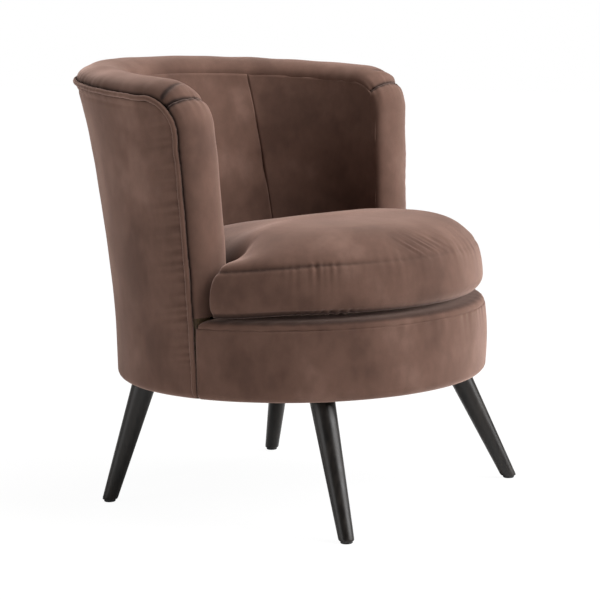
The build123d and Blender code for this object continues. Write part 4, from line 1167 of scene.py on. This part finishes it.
@dataclass
class SeatCushion:
    """The loose crowned cushion, with its boxing seams and gathers, and the zip at its rear."""

    form: TubForm
    finishes: Materials
    bottom: float = 0.3505
    front: float = 0.3185
    neck: float = 0.227
    shoulder: float = -0.0375
    corner: float = 0.010
    root: float = 0.012
    middle_y: float = -0.045
    pivot_y: float = -0.03
    levels: Tuple[Tuple[float, float], ...] = (
        (0.000, 0.0200), (0.0015, 0.0150), (0.004, 0.0112), (0.007, 0.0084), (0.014, 0.0040), (0.021, 0.0014),
        (0.028, 0.0003), (0.043, 0.0008), (0.058, 0.0025), (0.072, 0.0054), (0.084, 0.0092), (0.093, 0.0145),
        (0.103, 0.0215), (0.112, 0.0300), (0.120, 0.0400), (0.127, 0.0530), (0.132, 0.0660), (0.136, 0.0820),
        (0.1385, 0.1000))
    crown_levels: Tuple[Tuple[float, float], ...] = ((0.1400, 0.125), (0.1410, 0.180), (0.1414, 0.300))
    ear_foot: float = 0.025
    boxing_top: float = 0.084
    lower_seam: float = 0.006
    upper_seam: float = 0.088
    seam_depth: float = 0.0024
    ear_sag: float = 0.012
    voxel: float = 0.0040
    soften_rounds: int = 45
    belly: float = 0.006
    rear_fullness: float = 0.006
    rear_drop: float = 0.021
    side_drop: float = 0.020
    wall_gap: float = 0.0012
    front_gap: float = 0.0015
    zip_recess: float = 0.0062
    gather_turn: float = radians(-54.0)
    crease_turn: float = radians(-13.0)
    around_radius: float = 0.30
    creases: Ripple = Ripple(97, 0.012, 0.030, 0.0015)
    waves: Crumple = Crumple(0.0018, 8.0, 21.0)

    def build(self) -> None:
        """Builds the cushion and its zip."""
        self.cushion()
        Zip(self.form, self.finishes, self.neck, self.bottom).build()

    def plan(self, inset: float) -> TeePlan:
        """Returns the cushion's plan, drawn in by an inset."""
        return TeePlan(self.front - inset, self.neck - inset, self.shoulder - 0.5 * inset, self.corner + 0.3 * inset,
                       self.root + 0.25 * inset)

    def seam_rise(self, x: np.ndarray, y: np.ndarray) -> np.ndarray:
        """Returns the rise of the upper boxing seam near each place, which sags towards the ears."""
        return self.upper_seam - self.ear_sag * self.ears(x, y) - self.fall(x, y)

    def fall(self, x: np.ndarray, y: np.ndarray) -> np.ndarray:
        """Returns how far the crown has sunk at each place: most at the sides and the rear of the neck."""
        flank = smooth(0.02, 0.20, np.abs(x)) * smooth(-0.06, 0.03, y) * (1.0 - 0.6 * smooth(0.10, 0.20, y))
        return self.rear_drop * smooth(-0.07, 0.15, y) + self.side_drop * flank

    def around(self, x: np.ndarray, y: np.ndarray) -> np.ndarray:
        """Returns the turn of each place from straight ahead, about a pivot a little ahead of the axis."""
        return np.arctan2(x, self.pivot_y - y)

    def ears(self, x: np.ndarray, y: np.ndarray) -> np.ndarray:
        """Returns how far each place belongs to one of the two ears, from 0 to 1."""
        aside = np.abs(self.around(x, y)) - radians(90.0)
        return bump(aside, radians(24.0)) * smooth(0.14, 0.26, np.abs(x))

    def crown_height(self, outline: np.ndarray, draw: float, membrane: Membrane) -> np.ndarray:
        """Returns the rise of the crown along a ring: its own inset near the seam, the membrane further in."""
        sides = [level for level in self.levels if level[0] >= self.boxing_top]
        rises, insets = np.array((*sides, *self.crown_levels)).T
        rear = smooth(self.shoulder - 0.015, self.shoulder + 0.030, outline[:, 1])
        deep = np.maximum(smooth(0.012, 0.050, np.full(len(outline), draw)), rear)
        inset = (1.0 - deep) * draw + deep * membrane.inset(outline[:, 0], outline[:, 1])
        return np.interp(inset, insets, rises) - self.fall(outline[:, 0], outline[:, 1])

    def side_ring(self, rise: float, draw: float, membrane: Membrane) -> np.ndarray:
        """Returns the ring of the cushion's side at one of its levels."""
        outline, _ = self.plan(draw).outline()
        ears = self.ears(outline[:, 0], outline[:, 1])
        if rise < self.ear_foot:
            full, _ = self.plan(0.25 * draw).outline()
            outline = outline + (full - outline) * ears[:, None]
        if rise >= self.boxing_top:
            height = self.crown_height(outline, draw, membrane)
        else:
            height = rise - self.fall(outline[:, 0], outline[:, 1]) * (rise / self.boxing_top) ** 2
        height = height - self.ear_sag * ears * smooth(0.030, 0.090, height)
        return np.column_stack((outline, self.bottom + height))

    def blank(self) -> bpy.types.Object:
        """Returns the cushion before its seams are drawn in, as a closed mesh."""
        membrane = Membrane(self.front, self.neck + self.rear_fullness, self.shoulder)
        sides = [self.side_ring(rise, draw, membrane) for rise, draw in self.levels]
        centre = np.array((0.0, self.middle_y))
        crown, base = [], []
        for share in (0.72, 0.45, 0.2):
            ring = centre + (sides[-1][:, :2] - centre) * share
            crown.append(np.column_stack((ring, self.bottom + self.crown_height(ring, 1.0, membrane))))
        for share in (0.2, 0.6):
            ring = centre + (sides[0][:, :2] - centre) * share
            base.append(np.column_stack((ring, np.full(len(ring), self.bottom))))
        rings = np.array((*base, *sides, *crown))
        draft = MeshDraft()
        draft.grid(self.form.placed(rings), wrap=True)
        count = rings.shape[1]
        draft.pole(0, count, self.form.placed(np.array((*centre, self.bottom))))
        draft.pole((rings.shape[0] - 1) * count, count, self.form.placed(rings[-1].mean(axis=0)))
        return draft.object("seat_cushion_top", closed=True)

    def cushion(self) -> None:
        """Builds the cushion: blank, fine even mesh, rounding, seams and gathers."""
        piece = self.blank()
        remesh = piece.modifiers.new("even", "REMESH")
        remesh.mode = "VOXEL"
        remesh.voxel_size = self.voxel
        settle(piece)
        self.soften(piece)
        self.sew(piece)
        self.keep_clear(piece)
        piece.data.polygons.foreach_set("use_smooth", [True] * len(piece.data.polygons))
        finer = piece.modifiers.new("finer", "SUBSURF")
        finer.levels = finer.render_levels = 1
        fit_piece(piece, self.finishes, "seat_cushion", "velvet", ("cushion_cover", "cushion_core"))

    def soften(self, piece: bpy.types.Object) -> None:
        """Rounds the crown by letting each point drift to the middle of its neighbours."""
        points = vertex_values(piece, "co")
        edges = np.empty(len(piece.data.edges) * 2, dtype=np.int64)
        piece.data.edges.foreach_get("vertices", edges)
        first, second = edges.reshape(-1, 2).T
        count = np.bincount(edges, minlength=len(points))[:, None]
        for _ in range(self.soften_rounds):
            total = np.zeros_like(points)
            np.add.at(total, first, points[second])
            np.add.at(total, second, points[first])
            sunk = self.fall(points[:, 0], points[:, 1] - self.form.axis_y)
            drift = smooth(0.080, 0.115, points[:, 2] - self.bottom + sunk)[:, None]
            points = points + drift * (total / count - points)
        self.move(piece, points)

    @staticmethod
    def move(piece: bpy.types.Object, points: np.ndarray) -> None:
        """Puts the mesh's points in new places."""
        piece.data.vertices.foreach_set("co", points.reshape(-1))
        piece.data.update()

    def sew(self, piece: bpy.types.Object) -> None:
        """Draws in the boxing seams and raises the small gathers beside them; paints shade under the cushion, along the
        seams, and over the rear and the nooks beside the arms.
        """
        points = vertex_values(piece, "co")
        x, y = points[:, 0], points[:, 1] - self.form.axis_y
        rise = points[:, 2] - self.bottom
        around = self.around(x, y)
        place = around * self.around_radius
        gathered = bump(around - self.gather_turn, radians(8.0))
        creased = bump(around - self.crease_turn, radians(11.0)) * bump(rise - 0.104, 0.013)
        seen = 0.35 + 0.65 * smooth(radians(22.0), radians(62.0), np.abs(around))
        out = creased * self.creases.along(place + 1.5 * rise)
        out += self.waves.at(points) * smooth(0.092, 0.112, rise + self.fall(x, y))
        # Painted shade under the cushion, along its lowest few millimetres.
        crease = 0.9 * smooth(0.010, 0.001, rise)
        for seam, seed, size in ((self.seam_rise(x, y), 91, 0.0004), (self.lower_seam, 94, 0.0001)):
            gap = rise - seam
            out -= self.seam_depth * seen * bump(gap, 0.0040)
            bunches = Ripple(seed + 2, 0.011, 0.018, 0.0040, 0.016).along(place, gap)
            out += bunches * gathered * smooth(0.008, -0.004, gap)
            out += Ripple(seed, 0.012, 0.034, size, 0.013).along(place, gap)
            out += Ripple(seed + 1, 0.05, 0.14, 0.8 * size, 0.030).along(place, gap)
            # Painted shade along each seam, as strong as its groove.
            crease = np.maximum(crease, 0.65 * seen * bump(gap, 0.0034))
        # Painted shade over the cushion's rear and the nooks beside the arms, which the back and arms keep from the
        # lamps.
        nook = smooth(0.05, 0.16, np.abs(x)) * smooth(-0.055, 0.005, y)
        back_and_arm_shade = np.maximum(nook, smooth(-0.06, 0.11, y))
        crease = np.maximum(crease, 0.8 * back_and_arm_shade)
        self.move(piece, points + vertex_values(piece, "normal") * out[:, None])
        store_painted_shade(piece, crease)

    def keep_clear(self, piece: bpy.types.Object) -> None:
        """Lifts the front of the lower edge, and keeps the cushion off the panels, the zip, the rolls and the deck."""
        form = self.form
        points = vertex_values(piece, "co")
        x, y, z = points[:, 0], points[:, 1] - form.axis_y, points[:, 2]
        reach, turn = np.hypot(x, y), np.arctan2(x, y)
        edge = smooth(0.232, 0.262, reach) * smooth(-0.06, -0.17, y)
        z = z + self.belly * edge * smooth(self.bottom + 0.050, self.bottom, z)
        room = form.wall_radius(turn, np.minimum(z, 0.46), form.wall + self.wall_gap)
        band = smooth(0.021, 0.017, np.abs(z - self.bottom - Zip.rise))
        band *= smooth(radians(75.0), radians(70.0), np.abs(turn))
        room = room - band * np.maximum(0.0, room - (self.neck - self.zip_recess))
        limit = np.where(y > self.shoulder + 0.004, room, form.radius - self.front_gap)
        scale = np.minimum(1.0, limit / np.maximum(reach, 1e-6))
        z = np.maximum(z, self.bottom)
        self.move(piece, np.stack((x * scale, y * scale + form.axis_y, z), axis=-1))


@dataclass
class Zip:
    """The zip across the cushion's rear boxing: woven tape, coil teeth and a slider."""

    form: TubForm
    finishes: Materials
    neck: float
    bottom: float
    rise: float = 0.032
    half_turn: float = radians(66.0)
    setback: float = 0.0044
    tape_height: float = 0.030
    tape_thickness: float = 0.0006
    tape_end: float = 0.035
    tooth: Tuple[float, float, float] = (0.0014, 0.0014, 0.0048)
    tooth_bevel: float = 0.0004
    tooth_pitch: float = 0.0021
    slider_turn: float = radians(60.0)
    slider_half: float = radians(1.55)
    slider_profile: Tuple[Tuple[float, float], ...] = (
        (-0.0045, 0.0), (-0.0045, 0.0016), (-0.0036, 0.0024), (-0.0012, 0.0026), (-0.0008, 0.0030),
        (0.0008, 0.0030), (0.0012, 0.0026), (0.0036, 0.0024), (0.0045, 0.0016), (0.0045, 0.0),
        (0.0030, 0.0), (0.0030, 0.0019), (-0.0030, 0.0019), (-0.0030, 0.0))
    slider_rings: Tuple[Tuple[float, float], ...] = (
        (-1.0, 0.72), (-0.8, 0.86), (-0.2, 0.92), (0.5, 1.0), (0.9, 0.97), (1.0, 0.84))

    def build(self) -> None:
        """Builds the tape, the teeth and the slider."""
        self.tape()
        self.teeth()
        self.slider()

    def middle(self) -> float:
        """Returns the height of the zip's middle."""
        return self.bottom + self.rise

    def tape(self) -> None:
        """Builds the tape as a band with a slightly raised fold along each edge."""
        end = self.half_turn + self.tape_end
        place = (np.linspace(-0.5, 0.5, 11) * self.tape_height)[:, None]
        radius = self.neck - self.setback - 0.0004 * (1 - bump(np.abs(place) - 0.013, 0.002))
        points = polar(radius, np.linspace(-end, end, 120), self.middle() + place)
        piece = grid_piece("zip_tape_band", self.form.placed(points), closed=False, flip=True)
        skin(piece, self.tape_thickness)
        fit_piece(piece, self.finishes, "seat_cushion", "zip_tape", ("zip_tape",))

    def teeth(self) -> None:
        """Builds the teeth by repeating one rounded tooth along the arc."""
        piece = bevelled_box("zip_coil", self.tooth, self.tooth_bevel)
        radius = self.neck - self.setback + 0.0008
        span = 2 * (self.half_turn - 0.02)
        row = ArcRow(radius, pi / 2 - span / 2, span, int(span * radius / self.tooth_pitch),
                     (0.0, self.form.axis_y, self.middle()))
        row.apply(piece, self.finishes["zip_plastic"])
        fit_piece(piece, self.finishes, "seat_cushion", "zip_plastic", ("zip_teeth",))

    def slider(self) -> None:
        """Builds the slider: a flared body with a raised bridge, straddling the teeth."""
        inner = self.neck - self.setback + 0.0005
        z, out = np.array(self.slider_profile).T
        rings = []
        for place, scale in self.slider_rings:
            radius = inner + out * np.where(out > 0.002, scale, 1.0)
            height = self.middle() + z * np.where(np.abs(z) > 0.0031, scale, 1.0)
            rings.append(polar(radius, self.slider_turn + place * self.slider_half, height))
        piece = grid_piece("zip_slider_body", self.form.placed(np.array(rings)), closed=False, wrap=True)
        work = bmesh.new()
        work.from_mesh(piece.data)
        bmesh.ops.holes_fill(work, edges=[e for e in work.edges if e.is_boundary])
        bmesh.ops.triangulate(work, faces=[f for f in work.faces if len(f.verts) > 4])
        bmesh.ops.recalc_face_normals(work, faces=work.faces)
        work.to_mesh(piece.data)
        work.free()
        piece.data.polygons.foreach_set("use_smooth", [False] * len(piece.data.polygons))
        fit_piece(piece, self.finishes, "zip_slider", "zip_plastic", ("zip_slider",))


@dataclass(frozen=True)
class ArcRow:
    """Repeats an object's own mesh along a level arc."""

    radius: float
    start: float
    sweep: float
    count: int
    centre: Tuple[float, float, float]

    def tree(self, material: bpy.types.Material) -> bpy.types.NodeTree:
        """Builds the node tree with named inputs for the row's sizes."""
        tree = bpy.data.node_groups.new("arc_row", "GeometryNodeTree")
        face = tree.interface
        face.new_socket("Geometry", in_out="INPUT", socket_type="NodeSocketGeometry")
        for name, kind in (("Radius", "Float"), ("Start", "Float"), ("Sweep", "Float"), ("Count", "Int"),
                           ("Centre", "Vector")):
            face.new_socket(name, in_out="INPUT", socket_type=f"NodeSocket{kind}")
        face.new_socket("Geometry", in_out="OUTPUT", socket_type="NodeSocketGeometry")
        source, target, arc_line, even, tangent, align, repeat, shift, real, dress = (tree.nodes.new(kind) for kind in (
            "NodeGroupInput", "NodeGroupOutput", "GeometryNodeCurveArc", "GeometryNodeResampleCurve",
            "GeometryNodeInputTangent", "FunctionNodeAlignRotationToVector", "GeometryNodeInstanceOnPoints",
            "GeometryNodeTransform", "GeometryNodeRealizeInstances", "GeometryNodeSetMaterial"))
        arc_line.mode = "RADIUS"
        align.axis = "X"
        align.pivot_axis = "Z"
        set_inputs(arc_line, {"Resolution": 128})
        set_inputs(dress, {"Material": material})
        for giver, output, taker, entry in (
                (source, "Radius", arc_line, "Radius"), (source, "Start", arc_line, "Start Angle"),
                (source, "Sweep", arc_line, "Sweep Angle"), (arc_line, "Curve", even, "Curve"),
                (source, "Count", even, "Count"), (even, "Curve", repeat, "Points"),
                (source, "Geometry", repeat, "Instance"), (tangent, "Tangent", align, "Vector"),
                (align, "Rotation", repeat, "Rotation"), (repeat, "Instances", real, "Geometry"),
                (real, "Geometry", shift, "Geometry"), (source, "Centre", shift, "Translation"),
                (shift, "Geometry", dress, "Geometry"), (dress, "Geometry", target, "Geometry")):
            tree.links.new(giver.outputs[output], taker.inputs[entry])
        return tree

    def apply(self, piece: bpy.types.Object, material: bpy.types.Material) -> None:
        """Repeats the piece's mesh and keeps the result as its plain mesh."""
        tree = self.tree(material)
        modifier = piece.modifiers.new("row", "NODES")
        modifier.node_group = tree
        values = {"Radius": self.radius, "Start": self.start, "Sweep": self.sweep, "Count": self.count,
                  "Centre": self.centre}
        for item in tree.interface.items_tree:
            if item.item_type == "SOCKET" and item.in_out == "INPUT" and item.name in values:
                modifier[item.identifier] = values[item.name]
        settle(piece)


@dataclass
class Staples:
    """Staples that hold the dust cloth."""

    form: TubForm
    finishes: Materials
    size: Tuple[float, float, float] = (0.0100, 0.0011, 0.0008)
    bevel: float = 0.0003
    radius: float = 0.2985
    count: int = 64
    start: float = 0.04

    def build(self) -> None:
        """Builds one staple's crown and repeats it round the base."""
        piece = bevelled_box("dust_cloth_staples", self.size, self.bevel)
        sweep = 2 * pi * (1 - 1 / self.count)
        place = (0.0, self.form.axis_y, self.form.bottom + 0.0003)
        ArcRow(self.radius, self.start, sweep, self.count, place).apply(piece, self.finishes["steel"])
        fit_piece(piece, self.finishes, "chair", "steel", ())


@dataclass(frozen=True)
class Lamp:
    """A soft square lamp: its place, the point that it is aimed at, its size and its watts."""

    name: str
    place: Tuple[float, float, float]
    aim: Tuple[float, float, float]
    size: float
    watts: float

    def build(self) -> None:
        """Adds the lamp."""
        data = bpy.data.lights.new(self.name, "AREA")
        data.shape = "SQUARE"
        data.size = self.size
        data.energy = self.watts
        lamp = linked(self.name, data)
        lamp.location = self.place
        lamp.rotation_euler = (Vector(self.aim) - Vector(self.place)).to_track_quat("-Z", "Y").to_euler()


@dataclass
class Studio:
    """Camera, lamps, floor and surroundings."""

    form: TubForm
    azimuth: float = radians(-54.93)
    distance: float = 3.52
    eye_height: float = 0.848
    pitch: float = radians(8.24)
    roll: float = -0.02
    lens: float = 122.37
    key: float = 2.5
    key_angle: float = radians(38.0)
    key_direction: Tuple[float, float, float] = (-1.1, 3.0, -2.05)
    soft_lamps: Tuple[Lamp, ...] = (
        Lamp("fill", (-2.7, 1.6, 1.0), (0.0, 0.0, 0.42), 1.9, 24.0),
        Lamp("top", (0.8, -0.6, 2.9), (0.0, 0.0, 0.4), 2.0, 58.0),
        Lamp("low", (1.1, -1.7, 0.75), (0.15, -0.2, 0.35), 0.9, 10.5))
    floor_edge: float = 14.0
    floor_glow: float = 1.06
    floor_share: float = 0.90
    surround: float = 0.185

    def build(self) -> None:
        """Sets up the whole studio."""
        self.camera()
        self.lamps()
        self.floor()
        self.world()

    def camera(self) -> None:
        """Places the camera at the photograph's angle."""
        level = Vector((-np.sin(self.azimuth), np.cos(self.azimuth), 0.0))
        up = Vector((0.0, 0.0, 1.0))
        ahead = level * np.cos(self.pitch) - up * np.sin(self.pitch)
        right = ahead.cross(up).normalized()
        top = right.cross(ahead)
        turned = right * np.cos(self.roll) + top * np.sin(self.roll)
        upright = top * np.cos(self.roll) - right * np.sin(self.roll)
        data = bpy.data.cameras.new("camera")
        data.lens = self.lens
        data.sensor_width = 36.0
        data.sensor_fit = "HORIZONTAL"
        data.clip_end = 100.0
        camera = linked("camera", data)
        eye = -level * self.distance + Vector((0.0, self.form.axis_y, self.eye_height))
        basis = Matrix((turned, upright, -ahead)).transposed()
        camera.matrix_world = Matrix.Translation(eye) @ basis.to_4x4()
        bpy.context.scene.camera = camera

    def lamps(self) -> None:
        """Adds an even key from the right of the view, a fill from its left, and lamps above and low in front."""
        data = bpy.data.lights.new("key", "SUN")
        data.energy = self.key
        data.angle = self.key_angle
        sun = linked("key", data)
        sun.rotation_euler = Vector(self.key_direction).to_track_quat("-Z", "Y").to_euler()
        for lamp in self.soft_lamps:
            lamp.build()

    def floor(self) -> None:
        """Adds a pale floor that stays close to white in the picture and keeps a faint shadow."""
        edge = self.floor_edge
        corners = np.array((((-edge, -edge, 0.0), (edge, -edge, 0.0)), ((-edge, edge, 0.0), (edge, edge, 0.0))))
        floor = grid_piece("floor", corners, closed=False)
        material, nodes, shader = new_material("pale_floor")
        set_inputs(shader, {"Base Color": (*grey(0.94), 1.0), "Roughness": 0.9, "Specular IOR Level": 0.0})
        light = nodes.add("ShaderNodeEmission")
        set_inputs(light, {"Strength": self.floor_glow})
        path = nodes.add("ShaderNodeLightPath")
        share = nodes.add("ShaderNodeMath", operation="MULTIPLY")
        set_inputs(share, {1: self.floor_share})
        mix = nodes.add("ShaderNodeMixShader")
        output = material.node_tree.nodes["Material Output"]
        nodes.link(path.outputs["Is Camera Ray"], share.inputs[0])
        for place, node in enumerate((share, shader, light)):
            nodes.link(node.outputs[0], mix.inputs[place])
        nodes.link(mix.outputs[0], output.inputs["Surface"])
        floor.data.materials.append(material)

    def world(self) -> None:
        """Sets an even pale surrounding that the camera sees as white."""
        world = bpy.data.worlds.new("studio")
        bpy.context.scene.world = world
        world.use_nodes = True
        tree = world.node_tree
        soft = tree.nodes["Background"]
        set_inputs(soft, {"Color": (1.0, 0.98, 0.96, 1.0), "Strength": self.surround})
        seen = tree.nodes.new("ShaderNodeBackground")
        set_inputs(seen, {"Color": (1.0, 1.0, 1.0, 1.0), "Strength": 1.0})
        path = tree.nodes.new("ShaderNodeLightPath")
        mix = tree.nodes.new("ShaderNodeMixShader")
        tree.links.new(path.outputs["Is Camera Ray"], mix.inputs[0])
        tree.links.new(soft.outputs[0], mix.inputs[1])
        tree.links.new(seen.outputs[0], mix.inputs[2])
        tree.links.new(mix.outputs[0], tree.nodes["World Output"].inputs["Surface"])


def dress_frame(finishes: Materials) -> None:
    """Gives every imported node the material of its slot."""
    slots = {entry["node"]: entry["material_slot"] for entry in frame["record"]["subparts"]}
    for name, node in frame["nodes"].items():
        for index in range(len(node.material_slots)):
            node.material_slots[index].material = finishes[slots[name]]


def main() -> None:
    """Builds every part of the scene in order."""
    logging.basicConfig(level=logging.INFO, format="%(name)s %(message)s")
    bpy.context.scene.view_settings.view_transform = "Standard"
    low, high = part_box("base_ring")
    form = TubForm(axis_y=(low[1] + high[1]) / 2)
    finishes = Finish.materials()
    Studio(form).build()
    dress_frame(finishes)
    for part in (WallCovers, RolledEdge, Drum, Staples, Legs, SeatCushion):
        part(form, finishes).build()


if __name__ == "__main__":
    main()
